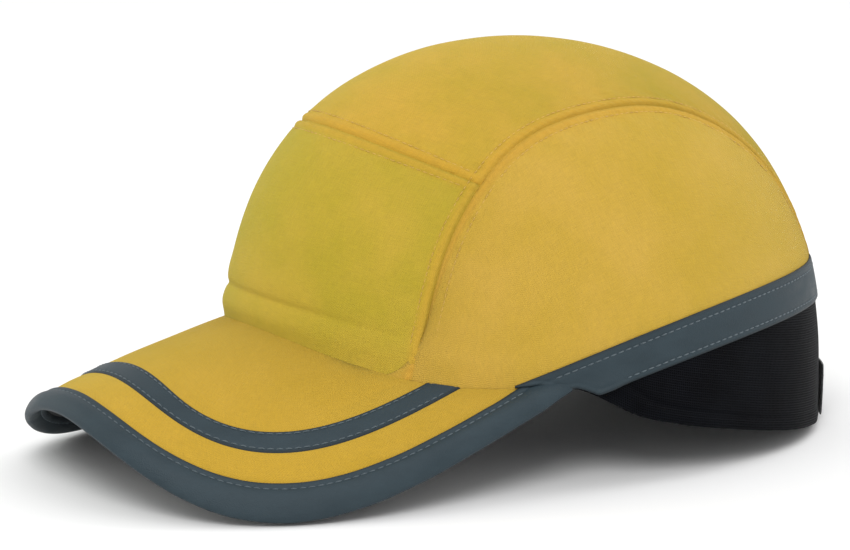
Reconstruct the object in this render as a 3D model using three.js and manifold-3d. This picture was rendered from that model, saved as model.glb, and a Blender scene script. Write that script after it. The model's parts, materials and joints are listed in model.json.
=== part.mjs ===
import * as THREE from 'three';
import { mergeVertices } from 'three/addons/utils/BufferGeometryUtils.js';
import Module from 'manifold-3d';

// Bump cap: a fabric cover with a stiff brim, a release-down ABS insert and a rear closing strap.
// Millimetres. The brow faces -Y, the wearer's left is +X, up is +Z, the floor is z = 0.
// Shapes are drawn about the crown's own axes; standTilt then lowers the back until the cap
// stands on the brim and on the rear edge, and the whole is set on the floor about the origin.

const standTilt = 4.27;

// ---- crown surface: half ellipses in plan, one reach profile each for front, back and side ----
const crownHeight = 149;
const crownLean = -17.8;
const frontReach = { base: 114, grow: 19.9, curl: -3.8, power: 2.67 };
const backReach = { base: 105, grow: 3.1, curl: 4.9, power: 3.13 };
const sideReach = { base: 85.7, grow: -3.6, curl: -2, power: 2.42 };
const crownCentre = new THREE.Vector3(0, 0, 50);

// ---- brim: an arched sheet given as a height over the plan ----
const brimRootY = -105;
const brimRise = { root: 55, slope: 21.2, sag: -13.8, arch: 0.00564, archGrow: -0.0047, curl: 1.2 };
const brimCurlHalfWidth = 60;
const brimEndAngle = 71.4;
const brimLength = 151.6;
const brimBulge = 11.4;
const brimSquareness = 2.3;

// ---- thicknesses and gaps ----
const fabric = 1;
const layerGap = 0.4;
const seamGapDeg = 0.2;
const wallClearance = 0.7;
const brimFabric = 0.5;
const brimGap = 0.3;
const boardThickness = 1;
const brimStack = 2 * brimFabric + boardThickness + 2 * brimGap;

// ---- trims ----
const bindingWidth = 8.4;
const bindingThickness = 0.5;
const bindingNose = 0.7;
const sheetInset = 1.6;
const stripeFrom = 21.8;
const stripeTo = 31.3;
const stripeThickness = 0.5;
const bandTop = { level: 63.6, climb: 26.6, bow: -14.9 };
const bandHeight = 13.8;
const bandThickness = 0.5;
const bandRest = 0.4;

// ---- seams, as angles about the fore-and-aft axis (forward is negative) and out to the side ----
const sideSeam = [[-112, 28.5], [-105, 30.3], [-85, 32.6], [-60, 31], [-35, 28.3], [-10, 26.9],
  [15, 23.8], [45, 21.4], [80, 19.4], [115, 19]];
const frontSeamAngle = -55.1;
const frontSeamBow = 0.0066;

// ---- bottom edge behind the brim: angle round the head, height ----
const rimKnots = [[84, 31.8], [104, 26], [128, 21], [155, 18], [180, 17], [205, 18]];

// ---- rear opening and strap ----
const openingHalfWidth = 27;
const openingHeight = 38;
const openingBorder = 3.2;
const strapBottom = 2;
const strapWidth = 18;
const strapThickness = 1.4;

// ---- insert ----
const shellDepth = 3.2;
const shellThickness = 2.2;
const padGap = 0.6;
const padDepth = shellDepth + shellThickness + padGap;
const padThickness = 5;
const shellAboveRim = 24;
const slotLength = 15;
const slotWidth = 7;
const slotDepth = 10;
const slotAbouts = [-42, -14, 14, 42];
const slotAsides = [21, -21, 43, -43];
const bandAboveRim = 3;
const sweatbandHeight = 31;
const sweatbandThickness = 2.4;
const padAboveRim = bandAboveRim + sweatbandHeight + 1;

const wasm = await Module();
wasm.setup();

const deg = Math.PI / 180;
const materials = {
  hiVisFabric: new THREE.MeshStandardMaterial({ color: 0xd0b03c, roughness: 0.9, metalness: 0 }),
  reflectiveTape: new THREE.MeshStandardMaterial({ color: 0x424c54, roughness: 0.55, metalness: 0.1 }),
  blackMesh: new THREE.MeshStandardMaterial({ color: 0x0c0e12, roughness: 0.95, metalness: 0 }),
  blackFabric: new THREE.MeshStandardMaterial({ color: 0x15171a, roughness: 0.95, metalness: 0 }),
  boardPlastic: new THREE.MeshStandardMaterial({ color: 0xd8d6cc, roughness: 0.6, metalness: 0 }),
  stiffener: new THREE.MeshStandardMaterial({ color: 0xe4e1d6, roughness: 0.95, metalness: 0 }),
  absPlastic: new THREE.MeshStandardMaterial({ color: 0x1c1e22, roughness: 0.42, metalness: 0 }),
  padFoam: new THREE.MeshStandardMaterial({ color: 0x26282c, roughness: 1, metalness: 0 }),
  terry: new THREE.MeshStandardMaterial({ color: 0x1a1c20, roughness: 1, metalness: 0 }),
  hookTape: new THREE.MeshStandardMaterial({ color: 0x121316, roughness: 0.9, metalness: 0 }),
  rubber: new THREE.MeshStandardMaterial({ color: 0x101113, roughness: 0.7, metalness: 0 }),
};

// A smooth line through [x, y] knots.
function through(knots) {
  const slope = knots.map((knot, i) => {
    const a = knots[Math.max(i - 1, 0)];
    const b = knots[Math.min(i + 1, knots.length - 1)];
    return (b[1] - a[1]) / (b[0] - a[0]);
  });
  return (x) => {
    let i = 0;
    while (i < knots.length - 2 && x > knots[i + 1][0]) i += 1;
    const [x0, y0] = knots[i];
    const [x1, y1] = knots[i + 1];
    const width = x1 - x0;
    const t = (x - x0) / width;
    const bend = width * t * (1 - t) * (slope[i] * (1 - t) - slope[i + 1] * t);
    return y0 + (y1 - y0) * t * t * (3 - 2 * t) + bend;
  };
}

// The value between low and high where test turns from true to false.
function turningPoint(low, high, test) {
  for (let i = 0; i < 40; i += 1) {
    const middle = (low + high) / 2;
    if (test(middle)) low = middle;
    else high = middle;
  }
  return low;
}

function reach(profile, z) {
  const h = z / 100;
  const fullness = 1 - (Math.max(z, 0) / crownHeight) ** profile.power;
  return (profile.base + profile.grow * h + profile.curl * h * h) * Math.sqrt(Math.max(fullness, 0));
}

function crownMiddle(z) {
  return crownLean * (z / crownHeight) ** 2;
}

// A point of the crown's outer surface: angle round the head from the brow, and height.
function crownPoint(angle, z) {
  const s = Math.sin(angle * deg);
  const c = Math.cos(angle * deg);
  const run = reach(c > 0 ? frontReach : backReach, z);
  return new THREE.Vector3(reach(sideReach, z) * s, crownMiddle(z) - run * c, z);
}

function insideCrown(p) {
  if (p.z >= crownHeight) return false;
  const y = p.y - crownMiddle(p.z);
  const run = reach(y < 0 ? frontReach : backReach, p.z);
  return (p.x / reach(sideReach, p.z)) ** 2 + (y / run) ** 2 < 1;
}

// Where a ray from the crown's centre meets its outer surface.
function onCrown(direction) {
  const unit = direction.clone().normalize();
  const at = (distance) => crownCentre.clone().addScaledVector(unit, distance);
  return at(turningPoint(5, 250, (distance) => insideCrown(at(distance))));
}

function crownNormal(p) {
  const step = 0.01;
  const out = p.clone().sub(crownCentre).normalize();
  const a = new THREE.Vector3(out.y, -out.x, 0);
  if (a.length() < 0.01) a.set(1, 0, 0);
  a.normalize();
  const b = out.clone().cross(a);
  const along = (side) => onCrown(out.clone().addScaledVector(side, step))
    .sub(onCrown(out.clone().addScaledVector(side, -step)));
  const normal = along(a).cross(along(b)).normalize();
  return normal.dot(out) < 0 ? normal.negate() : normal;
}

// A crown point moved inwards by depth (outwards when negative).
function underCrown(p, depth) {
  return p.clone().addScaledVector(crownNormal(p), -depth);
}

// Crown point from the seam angles: about the fore-and-aft axis, and out to the side.
function seamPoint(about, aside) {
  const a = about * deg;
  const s = aside * deg;
  return onCrown(new THREE.Vector3(Math.sin(s), Math.cos(s) * Math.sin(a), Math.cos(s) * Math.cos(a)));
}

function brimHeight(x, y) {
  const run = (y - brimRootY) / 100;
  const arch = brimRise.arch + brimRise.archGrow * run;
  const curl = brimRise.curl * (x / brimCurlHalfWidth) ** 4;
  return brimRise.root + brimRise.slope * run + brimRise.sag * run * run - arch * x * x - curl;
}

// A point over the brim's top surface: straight up, lift measured square to the surface.
function brimPoint(x, y, lift) {
  const step = 0.05;
  const slopeX = (brimHeight(x + step, y) - brimHeight(x - step, y)) / (2 * step);
  const slopeY = (brimHeight(x, y + step) - brimHeight(x, y - step)) / (2 * step);
  return new THREE.Vector3(x, y, brimHeight(x, y) + lift * Math.hypot(1, slopeX, slopeY));
}

// Height where the crown meets the brim's top surface.
function junctionHeight(angle) {
  return turningPoint(0, crownHeight - 20, (z) => {
    const p = crownPoint(angle, z);
    return z < brimHeight(p.x, p.y);
  });
}

const rimBehindBrim = through([
  [brimEndAngle - 10, junctionHeight(brimEndAngle - 10) - brimStack],
  [brimEndAngle, junctionHeight(brimEndAngle) - brimStack],
  ...rimKnots,
]);

// Bottom edge of the cover, by angle round the head.
function rimHeight(angle) {
  const a = Math.abs(angle) > 180 ? 360 - Math.abs(angle) : Math.abs(angle);
  return a < brimEndAngle ? junctionHeight(a) - brimStack : rimBehindBrim(a);
}

// Height of the reflective band's top edge (drop 0) or of a line drop below it.
function bandLine(angle, drop) {
  return turningPoint(0, crownHeight - 20, (z) => {
    const y = crownPoint(angle, z).y / 100;
    return z < bandTop.level + bandTop.climb * y + bandTop.bow * y * y - drop;
  });
}

// Closed solid between two matching grids of points (rows of Vector3), welded and facing out.
function solidBetween(top, bottom, wrap) {
  const points = [];
  const triangles = [];
  const known = new Map();
  const idOf = (p) => {
    const key = [p.x, p.y, p.z].map((value) => Math.round(value * 1000)).join(' ');
    if (!known.has(key)) {
      known.set(key, points.length / 3);
      points.push(p.x, p.y, p.z);
    }
    return known.get(key);
  };
  const triangle = (a, b, c) => {
    if (a !== b && b !== c && c !== a) triangles.push(a, b, c);
  };
  const quad = (a, b, c, d) => {
    triangle(a, b, c);
    triangle(a, c, d);
  };
  const t = top.map((row) => row.map(idOf));
  const u = bottom.map((row) => row.map(idOf));
  const rows = t.length;
  const columns = t[0].length;
  for (let i = 0; i < (wrap ? rows : rows - 1); i += 1) {
    const k = (i + 1) % rows;
    for (let j = 0; j < columns - 1; j += 1) {
      quad(t[i][j], t[k][j], t[k][j + 1], t[i][j + 1]);
      quad(u[i][j], u[i][j + 1], u[k][j + 1], u[k][j]);
    }
    quad(t[k][0], t[i][0], u[i][0], u[k][0]);
    quad(t[i][columns - 1], t[k][columns - 1], u[k][columns - 1], u[i][columns - 1]);
  }
  for (let j = 0; j < columns - 1 && !wrap; j += 1) {
    quad(t[0][j], t[0][j + 1], u[0][j + 1], u[0][j]);
    quad(t[rows - 1][j + 1], t[rows - 1][j], u[rows - 1][j], u[rows - 1][j + 1]);
  }
  return facingOut(points, triangles);
}

function facingOut(points, triangles) {
  const corner = (i) => new THREE.Vector3().fromArray(points, 3 * triangles[i]);
  let volume = 0;
  for (let i = 0; i < triangles.length; i += 3) {
    volume += corner(i).dot(corner(i + 1).cross(corner(i + 2)));
  }
  if (volume < 0) triangles.reverse();
  const geometry = new THREE.BufferGeometry();
  geometry.setAttribute('position', new THREE.Float32BufferAttribute(points, 3));
  geometry.setIndex(triangles);
  geometry.computeVertexNormals();
  return geometry;
}

function grid(rows, columns, pointAt) {
  return Array.from({ length: rows + 1 }, (_, i) => (
    Array.from({ length: columns + 1 }, (__, j) => pointAt(i / rows, j / columns))
  ));
}

// A layer of the crown between two depths, over a patch (u, v) => crown point.
function crownLayer(rows, columns, patch, outerDepth, innerDepth) {
  const base = grid(rows, columns, patch);
  const sink = (depth) => base.map((row) => row.map((p) => underCrown(p, depth)));
  return solidBetween(sink(outerDepth), sink(innerDepth), false);
}

// Patch between the lines from(u) and to(u) of the crown.
function ruledPatch(from, to) {
  return (u, v) => onCrown(from(u).lerp(to(u), v).sub(crownCentre));
}

// Patch with four edge lines that share their corners.
function coonsPatch(bottom, top, left, right) {
  return (u, v) => {
    const p = bottom(u).multiplyScalar(1 - v).addScaledVector(top(u), v);
    p.addScaledVector(left(v), 1 - u).addScaledVector(right(v), u);
    p.addScaledVector(bottom(0), -(1 - u) * (1 - v)).addScaledVector(bottom(1), -u * (1 - v));
    p.addScaledVector(top(0), -(1 - u) * v).addScaledVector(top(1), -u * v);
    return onCrown(p.sub(crownCentre));
  };
}

// ---- seam lines ----
const sideSeamAside = through(sideSeam);
const frontSeamAbout = (aside) => frontSeamAngle + frontSeamBow * aside * aside;

function angleRound(p) {
  return Math.atan2(p.x, -(p.y - crownMiddle(p.z))) / deg;
}

// Ends of the side seam: at the bottom edge in front, under the reflective band behind.
function seamFoot(about, heightAt) {
  const above = (a) => {
    const p = seamPoint(a, sideSeamAside(a));
    return p.z > heightAt(angleRound(p));
  };
  return about < 0 ? -turningPoint(60, 112, (a) => above(-a)) : turningPoint(60, 114, above);
}

const bandMiddle = (angle) => bandLine(angle, bandHeight / 2);
const panelEdgeGap = 0.25;
const frontFoot = seamFoot(-100, rimHeight);
const rearFoot = seamFoot(100, (angle) => bandMiddle(angle) + panelEdgeGap);
const seamCorner = turningPoint(-100, -20, (about) => about < frontSeamAbout(sideSeamAside(about)));

// Point of the side seam, shifted aside by a few degrees, on the side sign (+1 wearer's left).
function sideSeamPoint(about, shift, sign) {
  const p = seamPoint(about, sideSeamAside(about) + shift);
  p.x *= sign;
  return p;
}

function footAngle(about, shift) {
  return angleRound(sideSeamPoint(about, shift, 1));
}

const mix = (a, b, t) => a + (b - a) * t;

function bottomEdgePoint(angle, lift) {
  return crownPoint(angle, rimHeight(angle) + lift);
}

function frontPanel() {
  const edge = (sign) => (v) => (
    sideSeamPoint(mix(frontFoot, seamCorner - seamGapDeg, v), -seamGapDeg, sign)
  );
  const foot = footAngle(frontFoot, -seamGapDeg);
  const aside = sideSeamAside(seamCorner) - seamGapDeg;
  const bottom = (u) => bottomEdgePoint(mix(-foot, foot, u), 0);
  const top = (u) => {
    const s = mix(-aside, aside, u);
    return seamPoint(frontSeamAbout(s) - seamGapDeg, s);
  };
  return crownLayer(14, 9, coonsPatch(bottom, top, edge(-1), edge(1)), 0, fabric);
}

function crownStrip() {
  const aside = sideSeamAside(seamCorner) - seamGapDeg;
  const foot = footAngle(rearFoot, -seamGapDeg);
  const front = (u) => {
    const s = mix(-aside, aside, u);
    return seamPoint(frontSeamAbout(s) + seamGapDeg, s);
  };
  const rear = (u) => {
    const angle = mix(-foot, foot - 360, u);
    return crownPoint(angle, bandMiddle(angle) + panelEdgeGap);
  };
  const edge = (sign) => (v) => (
    sideSeamPoint(mix(seamCorner + seamGapDeg, rearFoot, v), -seamGapDeg, sign)
  );
  return crownLayer(11, 32, coonsPatch(front, rear, edge(-1), edge(1)), 0, fabric);
}

// Lower edge of a side panel: the cap's bottom edge, then the middle of the reflective band.
function sidePanelLowEdge(angle) {
  return Math.max(rimHeight(angle), bandMiddle(angle) + panelEdgeGap);
}

function sidePanel(sign) {
  const from = footAngle(frontFoot, seamGapDeg);
  const to = footAngle(rearFoot, seamGapDeg);
  const seam = (u) => sideSeamPoint(mix(frontFoot, rearFoot, u), seamGapDeg, sign);
  const low = (u) => {
    const angle = mix(from, to, u);
    return crownPoint(sign * angle, sidePanelLowEdge(angle));
  };
  return crownLayer(42, 8, ruledPatch(seam, low), 0, fabric);
}

// Half-moon opening over the strap: its top edge by distance from the middle.
function openingEdge(x, border) {
  const across = Math.min(Math.abs(x) / (openingHalfWidth + border), 1);
  return rimHeight(180) + (openingHeight + border) * Math.sqrt(1 - across * across);
}

function neckLowEdge(angle) {
  const x = crownPoint(angle, rimHeight(angle)).x;
  return Math.max(rimHeight(angle), angle > 140 ? openingEdge(x, 0) : 0);
}

const neckFrom = turningPoint(60, 110, (angle) => bandMiddle(angle) - rimHeight(angle) < 2);

function neckMesh(sign) {
  const span = 180 - panelEdgeGap - neckFrom;
  const foot = Math.asin(openingHalfWidth / sideReach.base) / deg;
  const share = (180 - foot - neckFrom) / span;
  // Rows crowd towards the steep end of the opening so that its curve stays round.
  const angleAt = (u) => {
    const t = (u - share) / (1 - share);
    return neckFrom + span * (u < share ? u : share + (1 - share) * t * t);
  };
  const patch = (u, v) => {
    const angle = angleAt(u);
    const z = mix(neckLowEdge(angle), bandMiddle(angle) - panelEdgeGap, v);
    return crownPoint(sign * angle, z);
  };
  return crownLayer(26, 4, patch, 0, fabric);
}

const bandBottomAt = (angle) => {
  const clearOfBrim = angle < brimEndAngle + 3 ? brimStack + 2.8 : 1;
  return Math.max(bandLine(angle, bandHeight), rimHeight(angle) + clearOfBrim);
};
const bandFrom = turningPoint(40, 90, (angle) => bandLine(angle, 0) - bandBottomAt(angle) < 1.5);

function reflectiveBand() {
  const patch = (u, v) => {
    const angle = mix(bandFrom, 360 - bandFrom, u);
    const a = angle > 180 ? 360 - angle : angle;
    return crownPoint(angle, mix(bandBottomAt(a), bandLine(a, 0), v));
  };
  return crownLayer(56, 2, patch, -bandRest - bandThickness, -bandRest);
}

// ---- brim ----
const brimEnd = underCrown(crownPoint(brimEndAngle, junctionHeight(brimEndAngle)), -wallClearance);

function brimInnerEdge(angle) {
  const p = underCrown(crownPoint(angle, junctionHeight(angle)), -wallClearance);
  return new THREE.Vector2(p.x, p.y);
}

function brimOuterEdge(turn) {
  const s = Math.sin(turn);
  const side = Math.sign(s) * Math.abs(s) ** (2 / brimSquareness);
  const ahead = Math.abs(Math.cos(turn)) ** (2 / brimSquareness);
  const x = brimEnd.x * side + 1.5 * brimBulge * side * ahead;
  return new THREE.Vector2(x, brimEnd.y - brimLength * ahead);
}

// The outer edge moved inwards over the surface by inset.
function brimInsetEdge(turn, inset) {
  const step = 0.01;
  const turnIn = Math.max(Math.min(turn, 0.499 * Math.PI), -0.499 * Math.PI);
  const p = brimOuterEdge(turnIn);
  const ahead = brimOuterEdge(turnIn + step).sub(brimOuterEdge(turnIn - step)).normalize();
  const inward = new THREE.Vector2(-ahead.y, ahead.x);
  const rise = brimHeight(p.x + inward.x, p.y + inward.y) - brimHeight(p.x, p.y);
  return p.addScaledVector(inward, inset / Math.hypot(1, rise));
}

// The turn at which an inset line runs into the crown.
function insetEnd(inset) {
  return turningPoint(0.6, Math.PI / 2, (turn) => {
    const p = brimInsetEdge(turn, inset);
    const q = new THREE.Vector3(p.x, p.y, brimHeight(p.x, p.y));
    return !insideCrown(q.addScaledVector(crownNormal(onCrown(q.clone().sub(crownCentre))), -wallClearance));
  });
}

function insetLine(inset) {
  const end = insetEnd(inset);
  return (u) => brimInsetEdge(mix(-end, end, u), inset);
}

function brimLayer(rows, columns, from, to, top, bottom) {
  const lifted = (lift) => grid(rows, columns, (u, v) => {
    const p = from(u).lerp(to(u), v);
    return brimPoint(p.x, p.y, lift);
  });
  return solidBetween(lifted(top), lifted(bottom), false);
}

const brimInnerLine = (u) => brimInnerEdge(mix(-brimEndAngle + 1.2, brimEndAngle - 1.2, u));

function brimSheet(top, bottom) {
  return brimLayer(42, 6, brimInnerLine, insetLine(sheetInset), top, bottom);
}

// Folded tape round the brim's edge: a top leg, a blunt nose and a lower leg, open to the inside.
function edgeBinding() {
  const over = brimGap + bindingThickness;
  const lowerFace = -brimStack;
  const inside = 0.09;
  const outerPath = [[1, over], [0.5, over], [0.06, over], [-bindingNose, over * 0.4],
    [-bindingNose, lowerFace - over * 0.4], [0.06, lowerFace - over], [0.5, lowerFace - over],
    [1, lowerFace - over]];
  const innerPath = [[1, brimGap], [0.5, brimGap], [inside * 1.3, brimGap], [inside, 0],
    [inside, lowerFace], [inside * 1.3, lowerFace - brimGap], [0.5, lowerFace - brimGap],
    [1, lowerFace - brimGap]];
  const legLine = insetLine(bindingWidth);
  const sweep = (path) => grid(44, path.length - 1, (u, v) => {
    const [inward, lift] = path[Math.round(v * (path.length - 1))];
    const turn = mix(-Math.PI / 2, Math.PI / 2, u);
    const p = inward < 0 ? brimInsetEdge(turn, inward) : brimOuterEdge(turn).lerp(legLine(u), inward);
    return brimPoint(p.x, p.y, lift);
  });
  return solidBetween(sweep(outerPath), sweep(innerPath), false);
}

function reflectiveStripe() {
  const top = brimGap + stripeThickness;
  return brimLayer(36, 2, insetLine(stripeFrom), insetLine(stripeTo), top, brimGap);
}

// ---- inside the cover ----
const liningDepth = fabric + layerGap;
const liningThickness = 0.6;
const rimTapeHeight = 12;
const seamTapeHalfDeg = 4;

function rimTape() {
  const end = 152;
  const patch = (u, v) => bottomEdgePoint(mix(-end, end, u), 0.2 + rimTapeHeight * v);
  return crownLayer(56, 1, patch, liningDepth, liningDepth + liningThickness);
}

function heightOverRim(p) {
  return p.z - rimHeight(angleRound(p));
}

// Part of the side seam that stays clear of the rim tape and of the rear opening.
const tapeFoot = -turningPoint(55, 112, (a) => (
  heightOverRim(sideSeamPoint(-a, 0, 1)) > rimTapeHeight + 4
));

function sideSeamTape(sign) {
  const patch = (u, v) => {
    const about = mix(tapeFoot, rearFoot - 4, u);
    return sideSeamPoint(about, mix(-seamTapeHalfDeg, seamTapeHalfDeg, v), sign);
  };
  return crownLayer(38, 1, patch, liningDepth, liningDepth + liningThickness);
}

const liningAside = sideSeamAside(seamCorner) - seamTapeHalfDeg - 1.2;

function frontSeamTape() {
  const patch = (u, v) => {
    const s = mix(-liningAside, liningAside, u);
    return seamPoint(frontSeamAbout(s) + mix(-seamTapeHalfDeg, seamTapeHalfDeg, v), s);
  };
  return crownLayer(10, 1, patch, liningDepth, liningDepth + liningThickness);
}

function frontStiffener() {
  const patch = (u, v) => {
    const s = mix(-liningAside, liningAside, u);
    const top = frontSeamAbout(s) - seamTapeHalfDeg - 0.5;
    const low = -turningPoint(-top, 112, (a) => heightOverRim(seamPoint(-a, s)) > rimTapeHeight + 2);
    return seamPoint(mix(low, top, v), s);
  };
  return crownLayer(10, 7, patch, liningDepth, liningDepth + liningThickness);
}

// Fabric binding round the half-moon opening, outside the neck panels.
function openingBinding() {
  const edge = (border) => (u) => {
    const x = (openingHalfWidth + border) * Math.cos(Math.PI * u);
    const z = openingEdge(x, border) + 1;
    return crownPoint(180 - Math.asin(x / sideReach.base) / deg, z);
  };
  const patch = (u, v) => edge(0.4)(u).lerp(edge(openingBorder)(u), v);
  const onSkin = (u, v) => onCrown(patch(u, v).sub(crownCentre));
  return crownLayer(26, 1, onSkin, -layerGap - liningThickness, -layerGap);
}

// A band of the crown between two angles and two heights over the rim at the back.
function strapPiece(from, to, low, high, outerDepth, innerDepth) {
  const base = rimHeight(180);
  const patch = (u, v) => crownPoint(mix(from, to, u), base + mix(low, high, v));
  return crownLayer(Math.max(2, Math.round(Math.abs(to - from) / 4)), 2, patch, outerDepth, innerDepth);
}

const loopFace = -2;
const strapFace = loopFace - 1;

function loopTab() {
  return strapPiece(152, 186, strapBottom, strapBottom + strapWidth, loopFace, loopFace + 0.8);
}

function hookPatch() {
  const low = strapBottom + 2;
  return strapPiece(171, 185, low, strapBottom + strapWidth - 2, strapFace + 0.1, strapFace + 0.7);
}

function hookStrap() {
  const top = strapBottom + strapWidth;
  return strapPiece(170, 212, strapBottom, top, strapFace - strapThickness - 0.2, strapFace - 0.2);
}

function pullTab() {
  const middle = strapBottom + strapWidth / 2;
  return strapPiece(162, 169.6, middle - 6, middle + 6, strapFace - strapThickness, strapFace - 0.2);
}

// ---- insert ----
const overhead = new THREE.Vector3(0, crownMiddle(crownHeight), crownHeight);

// Dome patch that closes over the head: from a height above the rim (v = 0) to the top (v = 1).
function domePoint(angle, aboveRim, v) {
  const low = crownPoint(angle, rimHeight(angle) + aboveRim).sub(crownCentre);
  const top = overhead.clone().sub(crownCentre);
  const turn = low.angleTo(top);
  const axis = low.clone().cross(top).normalize();
  return onCrown(low.applyAxisAngle(axis, turn * v));
}

function shellDome() {
  const rows = grid(48, 13, (u, v) => domePoint(mix(-180, 180, u), shellAboveRim, v));
  rows.pop();
  const sink = (depth) => rows.map((row) => row.map((p) => underCrown(p, depth)));
  const dome = solidBetween(sink(shellDepth), sink(shellDepth + shellThickness), true);
  return cutSlots(dome);
}

function toManifold(geometry) {
  return new wasm.Manifold(new wasm.Mesh({
    numProp: 3,
    vertProperties: new Float32Array(geometry.attributes.position.array),
    triVerts: new Uint32Array(geometry.index.array),
  }));
}

function fromManifold(solid) {
  const { vertProperties, triVerts } = solid.getMesh();
  return facingOut(Array.from(vertProperties), Array.from(triVerts));
}

// Prism with round ends, centred on its middle, for cutting one ventilation slot.
function slotRod() {
  const half = (slotLength - slotWidth) / 2;
  const outline = new THREE.Shape();
  outline.absarc(0, half, slotWidth / 2, 0, Math.PI);
  outline.absarc(0, -half, slotWidth / 2, Math.PI, 2 * Math.PI);
  const rod = new THREE.ExtrudeGeometry(outline, {
    depth: slotDepth, bevelEnabled: false, curveSegments: 8,
  });
  rod.translate(0, 0, -slotDepth / 2);
  rod.deleteAttribute('normal');
  rod.deleteAttribute('uv');
  return toManifold(mergeVertices(rod));
}

// Ventilation slots through the dome, in two rows either side of the middle.
function cutSlots(dome) {
  const alongCrown = new THREE.Vector3(0, 1, 0);
  const rod = slotRod();
  let solid = toManifold(dome);
  slotAbouts.forEach((about) => {
    slotAsides.forEach((aside) => {
      const p = underCrown(seamPoint(about, aside), shellDepth);
      const place = new THREE.Matrix4().lookAt(crownNormal(p), new THREE.Vector3(), alongCrown);
      place.setPosition(p);
      solid = solid.subtract(rod.transform(Array.from(place.elements)));
    });
  });
  return fromManifold(solid);
}

// Foam pad against the shell between two angles and two heights over the rim.
function wallPad(from, to, low, high) {
  const patch = (u, v) => {
    const angle = mix(from, to, u);
    return crownPoint(angle, rimHeight(angle) + mix(low, high, v));
  };
  const columns = Math.max(4, Math.round((high - low) / 9));
  return crownLayer(Math.round((to - from) / 7), columns, patch, padDepth, padDepth + padThickness);
}

// Round pad at the top of the dome with a flat underside.
function crownPad() {
  const radius = 34;
  const flatLevel = crownHeight - padDepth - padThickness - 6;
  const around = 24;
  const rings = 4;
  const cell = (i, j) => {
    const a = (2 * Math.PI * i) / around;
    const r = radius * (1 - j / rings);
    return new THREE.Vector3(r * Math.sin(a), overhead.y + r * Math.cos(a), 0);
  };
  const table = (pointAt) => Array.from({ length: around }, (_, i) => (
    Array.from({ length: rings + 1 }, (__, j) => pointAt(cell(i, j)))
  ));
  const top = table((p) => {
    const over = onCrown(new THREE.Vector3(p.x * 1.06, p.y * 1.06, crownHeight - crownCentre.z));
    return underCrown(over, padDepth);
  });
  const flat = top.map((row) => row.map((p) => new THREE.Vector3(p.x, p.y, flatLevel)));
  return solidBetween(top, flat, true);
}

function sweatband() {
  const rows = grid(56, 2, (u, v) => {
    const angle = mix(-180, 180, u);
    return crownPoint(angle, rimHeight(angle) + bandAboveRim + sweatbandHeight * v);
  });
  rows.pop();
  const sink = (depth) => rows.map((row) => row.map((p) => underCrown(p, depth)));
  return solidBetween(sink(padDepth), sink(padDepth + sweatbandThickness), true);
}

// ---- assembly ----
const cap = new THREE.Group();
cap.name = 'bump_cap';
cap.rotation.x = -standTilt * deg;

function group(name) {
  const made = new THREE.Group();
  made.name = name;
  cap.add(made);
  return made;
}

function add(parent, name, geometry, material) {
  const mesh = new THREE.Mesh(geometry, material);
  mesh.name = name;
  parent.add(mesh);
}

const cover = group('cover');
add(cover, 'front_panel', frontPanel(), materials.hiVisFabric);
add(cover, 'crown_panel', crownStrip(), materials.hiVisFabric);
add(cover, 'side_panel_left', sidePanel(1), materials.hiVisFabric);
add(cover, 'side_panel_right', sidePanel(-1), materials.hiVisFabric);
add(cover, 'neck_mesh_left', neckMesh(1), materials.blackMesh);
add(cover, 'neck_mesh_right', neckMesh(-1), materials.blackMesh);
add(cover, 'rear_reflective_band', reflectiveBand(), materials.reflectiveTape);
add(cover, 'rim_tape', rimTape(), materials.blackFabric);
add(cover, 'rear_opening_binding', openingBinding(), materials.blackFabric);
add(cover, 'loop_tab', loopTab(), materials.hookTape);
add(cover, 'front_stiffener', frontStiffener(), materials.stiffener);
add(cover, 'seam_tape_front', frontSeamTape(), materials.blackFabric);
add(cover, 'seam_tape_left', sideSeamTape(1), materials.blackFabric);
add(cover, 'seam_tape_right', sideSeamTape(-1), materials.blackFabric);

const brim = group('brim');
const boardTop = -brimFabric - brimGap;
add(brim, 'brim_top_cover', brimSheet(0, -brimFabric), materials.hiVisFabric);
add(brim, 'brim_board', brimSheet(boardTop, boardTop - boardThickness), materials.boardPlastic);
add(brim, 'brim_under_cover', brimSheet(-brimStack + brimFabric, -brimStack), materials.blackFabric);
add(brim, 'brim_edge_binding', edgeBinding(), materials.reflectiveTape);
add(brim, 'brim_reflective_stripe', reflectiveStripe(), materials.reflectiveTape);

const insert = group('insert');
add(insert, 'abs_shell', shellDome(), materials.absPlastic);
add(insert, 'crown_pad', crownPad(), materials.padFoam);
add(insert, 'front_pad', wallPad(-36, 36, padAboveRim, padAboveRim + 24), materials.padFoam);
add(insert, 'side_pad_left', wallPad(72, 114, padAboveRim, padAboveRim + 40), materials.padFoam);
add(insert, 'side_pad_right', wallPad(-114, -72, padAboveRim, padAboveRim + 40), materials.padFoam);
add(insert, 'rear_pad', wallPad(152, 208, padAboveRim + 6, padAboveRim + 50), materials.padFoam);
add(insert, 'sweatband', sweatband(), materials.terry);

const strap = group('rear_strap');
add(strap, 'hook_strap', hookStrap(), materials.blackFabric);
add(strap, 'hook_patch', hookPatch(), materials.hookTape);
add(strap, 'pull_tab', pullTab(), materials.rubber);

const extent = new THREE.Box3().setFromObject(cap, true);
cap.position.set(0, -(extent.min.y + extent.max.y) / 2, -extent.min.z);

export default cap;
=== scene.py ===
"""Bump cap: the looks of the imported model, in Blender, in the frame of the CAD."""

import json
import math

import bpy
import bmesh
import numpy as np
from mathutils import Matrix, Vector, noise

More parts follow.
